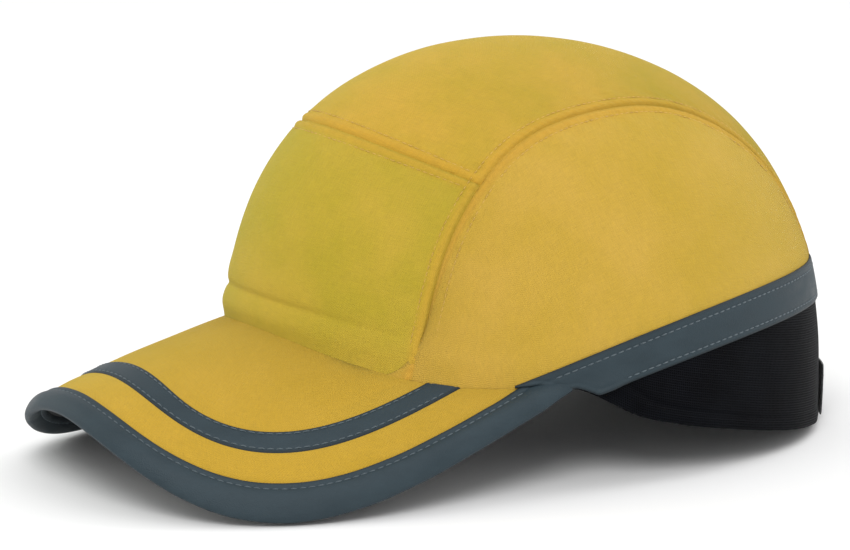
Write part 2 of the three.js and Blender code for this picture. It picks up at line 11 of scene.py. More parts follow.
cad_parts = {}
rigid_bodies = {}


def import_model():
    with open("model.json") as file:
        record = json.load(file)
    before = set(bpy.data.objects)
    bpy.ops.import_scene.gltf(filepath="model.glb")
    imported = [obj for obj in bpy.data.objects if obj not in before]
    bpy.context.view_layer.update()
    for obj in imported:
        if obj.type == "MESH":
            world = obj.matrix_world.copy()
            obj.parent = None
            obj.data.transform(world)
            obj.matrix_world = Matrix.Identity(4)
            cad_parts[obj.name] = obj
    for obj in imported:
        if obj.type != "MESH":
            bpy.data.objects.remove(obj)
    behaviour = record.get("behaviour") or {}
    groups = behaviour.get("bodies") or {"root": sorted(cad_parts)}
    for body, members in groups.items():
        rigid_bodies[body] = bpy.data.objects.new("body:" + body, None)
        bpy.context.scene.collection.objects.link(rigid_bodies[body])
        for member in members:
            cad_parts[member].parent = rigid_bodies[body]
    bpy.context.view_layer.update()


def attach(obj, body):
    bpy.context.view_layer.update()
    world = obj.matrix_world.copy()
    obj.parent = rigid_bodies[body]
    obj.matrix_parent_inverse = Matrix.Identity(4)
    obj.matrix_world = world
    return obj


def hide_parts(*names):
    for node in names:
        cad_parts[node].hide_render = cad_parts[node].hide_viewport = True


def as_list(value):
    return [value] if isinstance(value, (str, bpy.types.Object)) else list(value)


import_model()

# ---------------------------------------------------------------- dimensions, millimetres
STAND_TILT = 4.27
SHIFT = (0.0, 38.9191, -10.3544)

CROWN_HEIGHT = 149.0
CROWN_LEAN = -17.8
FRONT_REACH = (114.0, 19.9, -3.8, 2.67)
BACK_REACH = (105.0, 3.1, 4.9, 3.13)
SIDE_REACH = (85.7, -3.6, -2.0, 2.42)
CENTRE = np.array([0.0, 0.0, 50.0])

BRIM_ROOT_Y = -105.0
BRIM_ROOT, BRIM_SLOPE, BRIM_SAG = 55.0, 21.2, -13.8
BRIM_ARCH, BRIM_ARCH_GROW = 0.00564, -0.0047
BRIM_CURL, BRIM_CURL_HALF_WIDTH = 1.2, 60.0
BRIM_END_ANGLE = 71.4
BRIM_LENGTH = 151.6
BRIM_BULGE = 11.4
BRIM_SQUARENESS = 2.3

FABRIC = 1.0
LAYER_GAP = 0.4
BRIM_FABRIC = 0.5
BRIM_GAP = 0.3
BOARD = 1.0
BRIM_STACK = 2 * BRIM_FABRIC + BOARD + 2 * BRIM_GAP
WALL_CLEARANCE = 0.7
BINDING_WIDTH = 8.4
STRIPE_FROM, STRIPE_TO = 21.8, 31.3

BAND_LEVEL, BAND_CLIMB, BAND_BOW = 63.6, 26.6, -14.9
BAND_HEIGHT = 13.8
BAND_OVER_RIM, BAND_OVER_BRIM_TOP = 0.3, 0.25

SIDE_SEAM = [(-112, 28.5), (-105, 30.3), (-85, 32.6), (-60, 31), (-35, 28.3), (-10, 26.9),
             (15, 23.8), (45, 21.4), (80, 19.4), (115, 19)]
FRONT_SEAM_ANGLE = -55.1
FRONT_SEAM_BOW = 0.0066
RIM_KNOTS = [(84, 31.8), (104, 26), (128, 21), (155, 18), (180, 17), (205, 18)]

OPENING_HALF_WIDTH = 27.0
OPENING_HEIGHT = 38.0
OPENING_BORDER = 3.2
STRAP_BOTTOM, STRAP_WIDTH = 2.0, 18.0

SHELL_DEPTH, SHELL_THICKNESS = 3.2, 2.2
PAD_DEPTH = 6.0
PAD_THICKNESS = 5.0
SHELL_ABOVE_RIM = 24.0
BAND_ABOVE_RIM = 3.0
SWEATBAND_HEIGHT = 31.0
SWEATBAND_THICKNESS = 2.4
PAD_ABOVE_RIM = 35.0
LOOP_LIFT, HOOK_LIFT, STRAP_LIFT = 1.2, 2.9, 3.2

SIGHT_TARGET = (0.0, 0.0, 60.0)
SIGHT_DISTANCE = 1500.0
SIGHT_AZIMUTH, SIGHT_ELEVATION, SIGHT_ROLL = 55.17, 9.86, 4.85
SIGHT_OFFSET = (-43.5, 4.5)
SIGHT_WIDTH = 298.9
SENSOR = 36.0

tilt = Matrix.Rotation(-math.radians(STAND_TILT), 3, "X")
TILT = np.array(tilt)


def place(points):
    """Crown-frame millimetres to the row frame, metres."""
    return (np.asarray(points) @ TILT.T + np.array(SHIFT)) / 1000


# ---------------------------------------------------------------- the cap's surfaces
def through(knots):
    """A smooth line through (x, y) knots."""
    xs = np.array([k[0] for k in knots], float)
    ys = np.array([k[1] for k in knots], float)
    low = np.maximum(np.arange(len(xs)) - 1, 0)
    high = np.minimum(np.arange(len(xs)) + 1, len(xs) - 1)
    slope = (ys[high] - ys[low]) / (xs[high] - xs[low])

    def at(x):
        x = np.asarray(x, float)
        i = np.clip(np.searchsorted(xs, x, side="left") - 1, 0, len(xs) - 2)
        width = xs[i + 1] - xs[i]
        t = (x - xs[i]) / width
        bend = width * t * (1 - t) * (slope[i] * (1 - t) - slope[i + 1] * t)
        return ys[i] + (ys[i + 1] - ys[i]) * t * t * (3 - 2 * t) + bend
    return at


def turning_point(low, high, test, shape=()):
    """The value between low and high where test turns from true to false."""
    low = np.full(shape, float(low))
    high = np.full(shape, float(high))
    for _ in range(34):
        middle = (low + high) / 2
        yes = test(middle)
        low = np.where(yes, middle, low)
        high = np.where(yes, high, middle)
    return low


def reach(profile, z):
    base, grow, curl, power = profile
    h = z / 100
    fullness = 1 - (np.clip(z, 0, CROWN_HEIGHT) / CROWN_HEIGHT) ** power
    return (base + grow * h + curl * h * h) * np.sqrt(np.maximum(fullness, 0))


def crown_middle(z):
    return CROWN_LEAN * (z / CROWN_HEIGHT) ** 2


def stack(x, y, z):
    return np.stack(np.broadcast_arrays(x, y, z), -1)


def crown_point(angle, z):
    s, c = np.sin(np.radians(angle)), np.cos(np.radians(angle))
    run = np.where(c > 0, reach(FRONT_REACH, z), reach(BACK_REACH, z))
    return stack(reach(SIDE_REACH, z) * s, crown_middle(z) - run * c, z)


def inside_crown(p):
    x, y, z = p[..., 0], p[..., 1] - crown_middle(p[..., 2]), p[..., 2]
    run = np.where(y < 0, reach(FRONT_REACH, z), reach(BACK_REACH, z))
    wide = np.maximum(reach(SIDE_REACH, z), 1e-6)
    run = np.maximum(run, 1e-6)
    return (z < CROWN_HEIGHT) & ((x / wide) ** 2 + (y / run) ** 2 < 1)


def on_crown(direction):
    unit = direction / np.linalg.norm(direction, axis=-1, keepdims=True)
    shape = unit.shape[:-1]
    far = turning_point(5, 250, lambda t: inside_crown(CENTRE + unit * t[..., None]), shape)
    return CENTRE + unit * far[..., None]


def crown_normal(p):
    step = 0.02
    out = p - CENTRE
    out = out / np.linalg.norm(out, axis=-1, keepdims=True)
    a = stack(out[..., 1], -out[..., 0], 0 * out[..., 0])
    size = np.linalg.norm(a, axis=-1, keepdims=True)
    a = np.where(size < 0.01, np.array([1.0, 0, 0]), a / np.maximum(size, 1e-9))
    b = np.cross(out, a)

    def along(side):
        return on_crown(out + side * step) - on_crown(out - side * step)
    normal = np.cross(along(a), along(b))
    normal /= np.linalg.norm(normal, axis=-1, keepdims=True)
    flip = np.sign((normal * out).sum(-1, keepdims=True))
    return normal * flip


def seam_point(about, aside):
    a, s = np.radians(about), np.radians(aside)
    return on_crown(stack(np.sin(s), np.cos(s) * np.sin(a), np.cos(s) * np.cos(a)))


def brim_height(x, y):
    run = (y - BRIM_ROOT_Y) / 100
    arch = BRIM_ARCH + BRIM_ARCH_GROW * run
    curl = BRIM_CURL * (x / BRIM_CURL_HALF_WIDTH) ** 4
    return BRIM_ROOT + BRIM_SLOPE * run + BRIM_SAG * run * run - arch * x * x - curl


def brim_point(xy, lift):
    x, y = xy[..., 0], xy[..., 1]
    step = 0.05
    slope_x = (brim_height(x + step, y) - brim_height(x - step, y)) / (2 * step)
    slope_y = (brim_height(x, y + step) - brim_height(x, y - step)) / (2 * step)
    return stack(x, y, brim_height(x, y) + lift * np.sqrt(1 + slope_x ** 2 + slope_y ** 2))


def junction_height(angle):
    angle = np.asarray(angle, float)

    def under(z):
        p = crown_point(angle, z)
        return z < brim_height(p[..., 0], p[..., 1])
    return turning_point(0, CROWN_HEIGHT - 20, under, angle.shape)


rim_behind_brim = through([
    (BRIM_END_ANGLE - 10, float(junction_height(BRIM_END_ANGLE - 10)) - BRIM_STACK),
    (BRIM_END_ANGLE, float(junction_height(BRIM_END_ANGLE)) - BRIM_STACK),
    *RIM_KNOTS,
])


def round_angle(angle):
    a = np.abs(np.asarray(angle, float))
    return np.where(a > 180, 360 - a, a)


def rim_height(angle):
    a = round_angle(angle)
    front = junction_height(np.minimum(a, BRIM_END_ANGLE)) - BRIM_STACK
    return np.where(a < BRIM_END_ANGLE, front, rim_behind_brim(np.maximum(a, BRIM_END_ANGLE)))


def band_line(angle, drop):
    angle = np.asarray(angle, float)

    def under(z):
        y = crown_point(angle, z)[..., 1] / 100
        return z < BAND_LEVEL + BAND_CLIMB * y + BAND_BOW * y * y - drop
    return turning_point(0, CROWN_HEIGHT - 20, under, angle.shape)


def band_middle(angle):
    return band_line(angle, BAND_HEIGHT / 2)


def mix(a, b, t):
    return a + (b - a) * t


side_seam_aside = through(SIDE_SEAM)


def front_seam_about(aside):
    return FRONT_SEAM_ANGLE + FRONT_SEAM_BOW * aside * aside


def angle_round(p):
    return np.degrees(np.arctan2(p[..., 0], -(p[..., 1] - crown_middle(p[..., 2]))))


def side_seam_point(about, sign=1, shift=0.0):
    p = seam_point(about, side_seam_aside(about) + shift)
    return p * np.array([sign, 1, 1])


def over_edge(about, height_at):
    p = side_seam_point(about)
    return p[..., 2] > height_at(angle_round(p))


front_foot = -float(turning_point(60, 112, lambda a: over_edge(-a, rim_height)))
rear_foot = float(turning_point(60, 114, lambda a: over_edge(a, band_middle)))
seam_corner = float(turning_point(
    -100, -20, lambda a: a < front_seam_about(side_seam_aside(a))))
corner_aside = float(side_seam_aside(seam_corner))
front_foot_angle = float(angle_round(side_seam_point(np.float64(front_foot))))
rear_foot_angle = float(angle_round(side_seam_point(np.float64(rear_foot))))


def coons(bottom, top, left, right):
    def patch(u, v):
        zero, one = np.zeros(1), np.ones(1)
        uu, vv = u[..., None], v[..., None]
        p = (1 - vv) * bottom(u) + vv * top(u) + (1 - uu) * left(v) + uu * right(v)
        p = p - (1 - uu) * (1 - vv) * bottom(zero) - uu * (1 - vv) * bottom(one)
        p = p - (1 - uu) * vv * top(zero) - uu * vv * top(one)
        return on_crown(p - CENTRE)
    return patch


def ruled(start, end):
    def patch(u, v):
        return on_crown(mix(start(u), end(u), v[..., None]) - CENTRE)
    return patch


def front_panel_patch():
    def bottom(u):
        angle = mix(-front_foot_angle, front_foot_angle, u)
        return crown_point(angle, rim_height(angle))

    def top(u):
        s = mix(-corner_aside, corner_aside, u)
        return seam_point(front_seam_about(s), s)

    def edge(sign):
        return lambda v: side_seam_point(mix(front_foot, seam_corner, v), sign)
    return coons(bottom, top, edge(-1), edge(1))


def crown_strip_patch():
    def front(u):
        s = mix(-corner_aside, corner_aside, u)
        return seam_point(front_seam_about(s), s)

    def rear(u):
        angle = mix(-rear_foot_angle, rear_foot_angle - 360, u)
        return crown_point(angle, band_middle(angle))

    def edge(sign):
        return lambda v: side_seam_point(mix(seam_corner, rear_foot, v), sign)
    return coons(front, rear, edge(-1), edge(1))


def side_panel_patch(sign):
    def seam(u):
        return side_seam_point(mix(front_foot, rear_foot, u), sign)

    def low(u):
        angle = mix(front_foot_angle, rear_foot_angle, u)
        height = np.maximum(rim_height(angle), band_middle(angle))
        return crown_point(sign * angle, height)
    return ruled(seam, low)


def opening_edge(x, border):
    across = np.minimum(np.abs(x) / (OPENING_HALF_WIDTH + border), 1)
    return RIM_KNOTS[4][1] + (OPENING_HEIGHT + border) * np.sqrt(1 - across * across)


neck_from = float(turning_point(
    60, 110, lambda a: band_middle(a) - rim_height(a) < 2))


def neck_patch(sign):
    foot = math.degrees(math.asin(OPENING_HALF_WIDTH / SIDE_REACH[0]))
    share = (180 - foot - neck_from) / (180 - neck_from)

    def patch(u, v):
        t = np.clip((u - share) / (1 - share), 0, 1)
        angle = neck_from + (180 - neck_from) * np.where(
            u < share, u, share + (1 - share) * t * t)
        rim = rim_height(angle)
        x = crown_point(angle, rim)[..., 0]
        low = np.where(angle > 140, np.maximum(rim, opening_edge(x, 0)), rim)
        return crown_point(sign * angle, mix(low, band_middle(angle), v))
    return patch


def band_bottom(angle):
    a = round_angle(angle)
    share = np.clip((BRIM_END_ANGLE - 1.5 - a) / 5, 0, 1)
    clear = mix(BAND_OVER_RIM, BRIM_STACK + BAND_OVER_BRIM_TOP, share * share * (3 - 2 * share))
    return np.maximum(band_line(a, BAND_HEIGHT), rim_height(a) + clear)


band_from = float(turning_point(40, 90, lambda a: band_line(a, 0) - band_bottom(a) < 0.7))


def band_patch(u, v):
    angle = mix(band_from, 360 - band_from, u)
    return crown_point(angle, mix(band_bottom(angle), band_line(round_angle(angle), 0), v))


def rim_strip_patch(start, end, low, high):
    def patch(u, v):
        angle = mix(start, end, u)
        return crown_point(angle, rim_height(angle) + mix(low, high, v))
    return patch


# ---- brim lines, in plan
def under_crown(p, depth):
    return p - crown_normal(p) * depth


brim_end = under_crown(
    crown_point(np.float64(BRIM_END_ANGLE), junction_height(BRIM_END_ANGLE)), -WALL_CLEARANCE)


def brim_outer(turn):
    s = np.sin(turn)
    side = np.sign(s) * np.abs(s) ** (2 / BRIM_SQUARENESS)
    ahead = np.abs(np.cos(turn)) ** (2 / BRIM_SQUARENESS)
    x = brim_end[0] * side + 1.5 * BRIM_BULGE * side * ahead
    return np.stack([x, brim_end[1] - BRIM_LENGTH * ahead], -1)


def brim_inset(turn, inset):
    step = 0.01
    turn = np.clip(turn, -0.499 * np.pi, 0.499 * np.pi)
    p = brim_outer(turn)
    ahead = brim_outer(turn + step) - brim_outer(turn - step)
    ahead /= np.linalg.norm(ahead, axis=-1, keepdims=True)
    inward = np.stack([-ahead[..., 1], ahead[..., 0]], -1)
    inset = inset + 0 * turn
    rise = brim_height(p[..., 0] + inward[..., 0], p[..., 1] + inward[..., 1])
    rise = rise - brim_height(p[..., 0], p[..., 1])
    return p + inward * (inset / np.hypot(1, rise))[..., None]


def clear_of_crown(turn, inset):
    p = brim_inset(turn, inset)
    q = stack(p[..., 0], p[..., 1], brim_height(p[..., 0], p[..., 1]))
    q = q - crown_normal(on_crown(q - CENTRE)) * 0.35
    return ~inside_crown(q)


INSETS = np.linspace(0.5, 50, 100)
inset_ends = turning_point(0.6, np.pi / 2, lambda turn: clear_of_crown(turn, INSETS), INSETS.shape)


def inset_end(inset):
    """The turn at which a line at that inset runs into the crown."""
    return np.where(inset < INSETS[0], 0.4985 * np.pi, np.interp(inset, INSETS, inset_ends))


# ---------------------------------------------------------------- meshes
def spaced(steps, close="none"):
    """Values from 0 to 1, set closer together at both ends, at the first one or nowhere."""
    t = np.linspace(0, 1, steps + 1)
    if close == "both":
        return t - 0.105 * np.sin(2 * np.pi * t)
    if close == "first":
        return 0.4 * t + 0.6 * t * t
    return t


def grid(rows, columns):
    return np.meshgrid(spaced(*rows), spaced(*columns), indexing="ij")


def arc(points, axis):
    """Distance along the rows or columns of a grid of points, from its first one."""
    step = np.linalg.norm(np.diff(points, axis=axis), axis=-1)
    start = np.zeros_like(np.take(step, [0], axis=axis))
    return np.concatenate([start, np.cumsum(step, axis=axis)], axis=axis)


def solid(name, top, bottom, wrap=False, marks=None):
    """Closed mesh between two matching grids of row-frame points, with a UV map in metres.
    marks are named numbers at each grid point, for the materials."""
    rows, columns = top.shape[:2]
    count = rows * columns
    points = np.concatenate([top.reshape(-1, 3), bottom.reshape(-1, 3)])
    i = np.arange(rows if wrap else rows - 1)[:, None]
    j = np.arange(columns - 1)[None, :]
    k = (i + 1) % rows
    a, b = (i * columns + j).ravel(), (k * columns + j).ravel()
    faces = [np.stack([a, b, b + 1, a + 1], 1), np.stack([a, a + 1, b + 1, b], 1) + count]
    i, k = i.ravel(), k.ravel()
    for column, order in ((0, 1), (columns - 1, -1)):
        p, q = i * columns + column, k * columns + column
        faces.append(np.stack([q, p, p + count, q + count][::order], 1))
    if not wrap:
        j = np.arange(columns - 1)
        for row, order in ((0, 1), (rows - 1, -1)):
            p = row * columns + j
            faces.append(np.stack([p, p + 1, p + 1 + count, p + count][::order], 1))
    faces = np.concatenate(faces)
    along = arc(top, 0).mean(axis=1)[:, None] + 0 * arc(top, 1)
    across = arc(top, 1)
    uv = np.stack([along, across], -1).reshape(-1, 2)
    doubled = {key: np.concatenate([value.ravel()] * 2) for key, value in (marks or {}).items()}
    return build(name, points, faces, np.concatenate([uv, uv]), doubled)


def build(name, points, faces, uv=None, marks=None):
    mesh = bpy.data.meshes.new(name)
    mesh.from_pydata(points.tolist(), [], [list(map(int, f)) for f in faces])
    if uv is not None:
        layer = mesh.uv_layers.new(name="cloth")
        loops = np.zeros(len(mesh.loops), int)
        mesh.loops.foreach_get("vertex_index", loops)
        layer.data.foreach_set("uv", uv[loops].ravel())
    for key, value in (marks or {}).items():
        layer = mesh.attributes.new(key, "FLOAT", "POINT")
        layer.data.foreach_set("value", np.ascontiguousarray(value.ravel(), np.float32))
    ob = bpy.data.objects.new(name, mesh)
    bpy.context.scene.collection.objects.link(ob)
    bm = bmesh.new()
    bm.from_mesh(mesh)
    bmesh.ops.remove_doubles(bm, verts=bm.verts, dist=1e-6)
    bmesh.ops.dissolve_degenerate(bm, edges=bm.edges, dist=1e-7)
    bmesh.ops.recalc_face_normals(bm, faces=bm.faces)
    for face in bm.faces:
        face.smooth = True
    for edge in bm.edges:
        if len(edge.link_faces) == 2 and edge.calc_face_angle(0) > 0.9:
            edge.smooth = False
    bm.to_mesh(mesh)
    bm.free()
    return ob


def noise_field(points, scale, seed):
    """Smooth noise from -1 to 1 at each point, points in millimetres."""
    flat = points.reshape(-1, 3) / scale + seed
    values = [noise.noise(Vector(p)) for p in flat]
    return np.array(values).reshape(points.shape[:-1])


def bell(distance, middle, width):
    return np.exp(-(((distance - middle) / width) ** 2))


TOPSTITCH = 3.5


def seam_relief(distance, along, seed):
    """Beside a sewn seam: a sunk edge, a raised and puckered allowance and its topstitching."""
    pucker = np.sin(along * 2 * np.pi / 3.1 + 1.6 * np.sin(along / 9 + seed))
    drift = np.sin(along * 2 * np.pi / 11.3 + 2.0 * np.sin(along / 31 + seed))
    sunk = -0.75 * bell(distance, 0, 0.75)
    allowance = (0.26 + 0.10 * pucker + 0.07 * drift) * bell(distance, 1.9, 1.5)
    held = -0.16 * bell(distance, TOPSTITCH, 0.55)
    beyond = (0.16 * drift - 0.05) * bell(distance, TOPSTITCH + 2.6, 2.6)
    return sunk + allowance + held + beyond


def fabric_panel(name, patch, rows, columns, seed, edges, extra=None):
    """Crown panel of woven cloth. edges names which of its four edges are sewn seams."""
    u, v = grid(rows, columns)
    base = patch(u, v)
    normal = crown_normal(base)
    along, across = arc(base, 0), arc(base, 1)
    distances = {
        "u0": (along, across), "u1": (along[-1:] - along, across),
        "v0": (across, along), "v1": (across[:, -1:] - across, along),
    }
    relief = 0.26 * noise_field(base, 36, seed) + 0.12 * noise_field(base, 14, seed + 5)
    # seam: mask for the painted shading beside each sewn seam.
    seam = np.zeros(relief.shape)
    for edge in edges:
        distance = distances[edge][0]
        relief *= 1 - bell(distance, 0, TOPSTITCH * 1.6)
        seam = np.maximum(seam, bell(distance, 1.8, 2.0))
    for edge in edges:
        relief += seam_relief(*distances[edge], seed)
    if extra is not None:
        relief += extra(base, along, across)
    relief = np.maximum(relief, -0.8)
    outer = place(base + normal * relief[..., None])
    inner = place(base - normal * FABRIC)
    return solid(name, outer, inner, marks={"seam": seam})


def layered(name, patch, rows, columns, lift, profile, inward=False, wrap=False):
    """Strip sewn on or in the crown, lift above its surface, as thick as profile says."""
    u, v = grid(rows, columns)
    if wrap:
        u, v = u[:-1], v[:-1]
    base = patch(u, v)
    normal = crown_normal(base)
    along, across = arc(base, 0), arc(base, 1)
    thick = profile(base, along, across)
    # edge: mask for the painted shade along both long edges, read by the tape finish.
    edge = bell(np.minimum(across, across[:, -1:] - across), 0, 0.7)
    shown = lift - thick if inward else lift + thick
    outer = place(base + normal * shown[..., None])
    held = place(base + normal * lift)
    return solid(name, outer, held, wrap, marks={"edge": edge})


# One stitch: a thread's lens-shaped run between two needle holes.
def stitches(name, centre, normal, pitch, length, width, height):
    """Row of thread stitches along a line of points (mm), each lying on the given normals."""
    run = arc(centre, 0)
    total = float(run[-1])
    middles = np.arange(pitch / 2, total - pitch / 2, pitch)
    sides, rings = 6, 5
    points, faces = [], []

    def at(distance, values):
        return np.stack([np.interp(distance, run, values[:, k]) for k in range(3)], -1)
    for middle in middles:
        start, end = at(middle - length / 2, centre), at(middle + length / 2, centre)
        up = at(middle, normal)
        up /= np.linalg.norm(up)
        ahead = end - start
        side = np.cross(ahead, up)
        side /= np.linalg.norm(side)
        first = len(points)
        for ring in range(rings):
            t = ring / (rings - 1)
            swell = 0.35 + 0.65 * math.sin(math.pi * t)
            core = start + ahead * t + up * height * (math.sin(math.pi * t) - 0.25)
            for k in range(sides):
                turn = 2 * math.pi * k / sides
                offset = side * math.cos(turn) * width / 2 + up * math.sin(turn) * width * 0.4
                points.append(core + offset * swell)
        for ring in range(rings - 1):
            for k in range(sides):
                a, b = first + ring * sides + k, first + ring * sides + (k + 1) % sides
                faces.append([a, b, b + sides, a + sides])
        faces.append([first + k for k in range(sides)][::-1])
        faces.append([first + (rings - 1) * sides + k for k in range(sides)])
    mesh = bpy.data.meshes.new(name)
    mesh.from_pydata(place(np.array(points)).tolist(), [], faces)
    for polygon in mesh.polygons:
        polygon.use_smooth = True
    ob = bpy.data.objects.new(name, mesh)
    bpy.context.scene.collection.objects.link(ob)
    return ob


STITCH_PITCH, STITCH_LENGTH, STITCH_WIDTH, STITCH_HEIGHT = 3.0, 2.3, 0.55, 0.16


def crown_stitches(name, line, lift, pitch=STITCH_PITCH, length=STITCH_LENGTH,
                   width=STITCH_WIDTH, height=STITCH_HEIGHT):
    t = np.linspace(0, 1, 400)
    p = line(t)
    n = crown_normal(p)
    return stitches(name, p + n * lift, n, pitch, length, width, height)


def brim_stitches(name, line, lift, height):
    t = np.linspace(0, 1, 400)
    p = brim_point(line(t), lift)
    n = np.tile(np.array([0.0, -0.25, 1.0]), (len(t), 1))
    n[:, 0] = 2 * BRIM_ARCH * p[:, 0]
    return stitches(name, p, n, STITCH_PITCH, STITCH_LENGTH, STITCH_WIDTH, height)


# ---------------------------------------------------------------- brim surfaces
def brim_line(inset, samples=900):
    """Line at a distance inside the brim's edge, by its share of its length, in plan."""
    end = float(inset_end(inset))
    xy = brim_inset(np.linspace(-end, end, samples), inset)
    step = np.linalg.norm(np.diff(xy, axis=0), axis=1)
    run = np.concatenate([[0], np.cumsum(step)])
    run /= run[-1]
    return lambda u: np.stack([np.interp(u, run, xy[:, 0]), np.interp(u, run, xy[:, 1])], -1)


BRIM_MIDDLE = 38.0
middle_line = brim_line(BRIM_MIDDLE)
middle_end = middle_line(np.ones(1))[0]
middle_angle = float(angle_round(stack(
    middle_end[0], middle_end[1], brim_height(middle_end[0], middle_end[1]))))


def junction_line(u):
    angle = mix(-middle_angle, middle_angle, u)
    return under_crown(crown_point(angle, junction_height(angle)), -0.15)[..., :2]


def brim_sheet_grid(rows, outer_columns, inner_columns, first_inset):
    """Plan points over the brim and how far each is inside its edge."""
    u = np.linspace(0, 1, rows + 1)
    insets = np.linspace(first_inset, BRIM_MIDDLE, outer_columns + 1)
    outer = np.stack([brim_line(inset)(u) for inset in insets], 1)
    start, end = middle_line(u), junction_line(u)
    t = np.linspace(0, 1, inner_columns + 1)[1:]
    inner = mix(start[:, None, :], end[:, None, :], t[None, :, None])
    gap = np.linalg.norm(end - start, axis=-1)[:, None] * t[None, :]
    inset = np.concatenate([np.tile(insets, (rows + 1, 1)), BRIM_MIDDLE + gap], 1)
    return np.concatenate([outer, inner], 1), inset


def brim_sheet(name, outer_lift, inner_lift, relief, facing=1):
    xy, inset = brim_sheet_grid(260, 60, 60, 1.6)
    flat = stack(xy[..., 0], xy[..., 1], 0 * xy[..., 0])
    lift = outer_lift + facing * relief(flat, inset)
    shown = place(brim_point(xy, lift))
    hidden = place(brim_point(xy, inner_lift))
    # The edge mark would paint shade beside the binding; the cloth finishes used on these sheets
    # don't read it.
    return solid(name, shown, hidden, marks={"edge": bell(inset, BINDING_WIDTH, 2.0)})


def brim_strip(name, start, end, columns, profile, base_lift):
    """Strip round the brim between two insets, its section given by profile(share across)."""
    u = np.linspace(0, 1, 301)
    v = np.linspace(0, 1, columns + 1)
    xy = np.stack([brim_line(mix(start, end, t))(u) for t in v], 1)
    lift = base_lift + profile(v)[None, :] + 0 * xy[..., 0]
    width = abs(end - start)
    fringe = np.minimum(v, 1 - v)[None, :] * width + 0 * xy[..., 0]
    # The edge mark is the painted shade along the stripe's two edges.
    return solid(name, place(brim_point(xy, lift)), place(brim_point(xy, base_lift + 0 * lift)),
                 marks={"edge": bell(fringe, 0, 0.7)})


def closed_curve(points, each):
    """Smooth closed line through points, with each steps from one to the next."""
    points = np.array(points, float)
    before, after = np.roll(points, 1, 0), np.roll(points, -1, 0)
    beyond = np.roll(points, -2, 0)
    out = []
    for k in range(each):
        t = k / each
        out.append(0.5 * (2 * points + (after - before) * t
                   + (2 * before - 5 * points + 4 * after - beyond) * t * t
                   + (3 * points - before - 3 * after + beyond) * t ** 3))
    return np.stack(out, 1).reshape(-1, points.shape[1])


def swept(name, sections, marks=None):
    """Closed mesh through a row of matching closed sections (row-frame points)."""
    rows, around = sections.shape[:2]
    i, j = np.arange(rows - 1)[:, None], np.arange(around)[None, :]
    k = (j + 1) % around
    faces = np.stack([(i * around + j).ravel(), (i * around + k).ravel(),
                      ((i + 1) * around + k).ravel(), ((i + 1) * around + j).ravel()], 1)
    faces = [list(f) for f in faces]
    faces.append(list(range(around)))
    faces.append([(rows - 1) * around + n for n in range(around)][::-1])
    along = arc(sections, 0).mean(axis=1)[:, None] + 0 * sections[..., 0]
    uv = np.stack([along, arc(sections, 1)], -1).reshape(-1, 2)
    return build(name, sections.reshape(-1, 3), faces, uv, marks=marks)


# Section of the folded edge binding: (inset, lift) round it, from its upper inner edge.
BINDING_STITCH = 6.2
BINDING_TUCK = 0.035  # share of its length at each end that closes in on the crown
BINDING_MIDDLE = -1.3
BINDING_THINNED, BINDING_DRAWN_IN = 0.12, 0.7
BINDING_SECTION = [
    (8.5, 0.20), (8.4, 0.58), (7.9, 0.80), (7.0, 0.84), (6.2, 0.62), (5.5, 0.90), (4.2, 1.18),
    (2.9, 1.24), (1.6, 1.02), (0.4, 0.46), (-0.5, -0.42), (-0.85, -1.3), (-0.5, -2.2),
    (0.4, -3.05), (1.6, -3.6), (2.9, -3.8), (4.2, -3.72), (5.5, -3.46), (6.2, -3.22),
    (7.0, -3.4), (7.9, -3.38), (8.4, -3.2), (8.5, -2.78), (7.0, -2.72), (3.6, -2.72),
    (1.4, -2.64), (0.75, -1.3), (1.4, 0.06), (3.6, 0.14), (7.0, 0.14),
]


def edge_binding():
    u = np.linspace(0, 1, 361)
    section = closed_curve(BINDING_SECTION, 2)
    xy = np.stack([brim_line(inset)(u) for inset, _ in section], 1)
    lift = np.tile(section[:, 1], (len(u), 1))
    outside = (section[:, 1] > 0.3) | (section[:, 1] < -2.9) | (section[:, 0] < 0.4)
    wave = 0.07 * noise_field(stack(xy[..., 0], xy[..., 1], lift), 11, 3.3)
    lift = lift + wave * outside * np.where(section[:, 1] < -1.3, -1, 1)
    tuck = np.clip((BINDING_TUCK - np.minimum(u, 1 - u)) / BINDING_TUCK, 0, 1)[:, None]
    tuck = tuck * tuck * (3 - 2 * tuck)
    lift = BINDING_MIDDLE + (lift - BINDING_MIDDLE) * (1 - BINDING_THINNED * tuck)
    xy[..., 0] -= np.sign(xy[..., 0]) * BINDING_DRAWN_IN * tuck
    points = place(brim_point(xy, lift))
    # Mask for the painted shade along the binding's inner edge, where it meets the brim top.
    rim = np.tile(bell(section[:, 0], BINDING_WIDTH, 0.8), (len(u), 1))
    return swept("edge_binding", points, marks={"edge": rim})


# ---------------------------------------------------------------- materials
def new_material(name, **settings):
    made = bpy.data.materials.new(name)
    made.use_nodes = True
    shader = made.node_tree.nodes["Principled BSDF"]
    for key, value in settings.items():
        shader.inputs[key.replace("_", " ")].default_value = value
    return made, made.node_tree, shader


def add_node(tree, kind, inputs=None, **settings):
    made = tree.nodes.new(kind)
    for key, value in settings.items():
        setattr(made, key, value)
    for key, value in (inputs or {}).items():
        socket = made.inputs[key]
        if isinstance(value, bpy.types.NodeSocket):
            tree.links.new(value, socket)
        else:
            socket.default_value = value
    return made


def math_node(tree, operation, a, b=0.0, c=0.0):
    made = add_node(tree, "ShaderNodeMath", {0: a, 1: b, 2: c}, operation=operation)
    return made.outputs[0]


def cloth_axes(tree):
    """The cloth map's two directions in metres, and its vector."""
    uv = add_node(tree, "ShaderNodeUVMap", uv_map="cloth").outputs[0]
    split = add_node(tree, "ShaderNodeSeparateXYZ", {0: uv})
    return split.outputs[0], split.outputs[1], uv


def object_place(tree):
    return add_node(tree, "ShaderNodeTexCoord").outputs["Object"]


def scaled(tree, vector, scale):
    return add_node(tree, "ShaderNodeMapping", {"Vector": vector, "Scale": scale}).outputs[0]


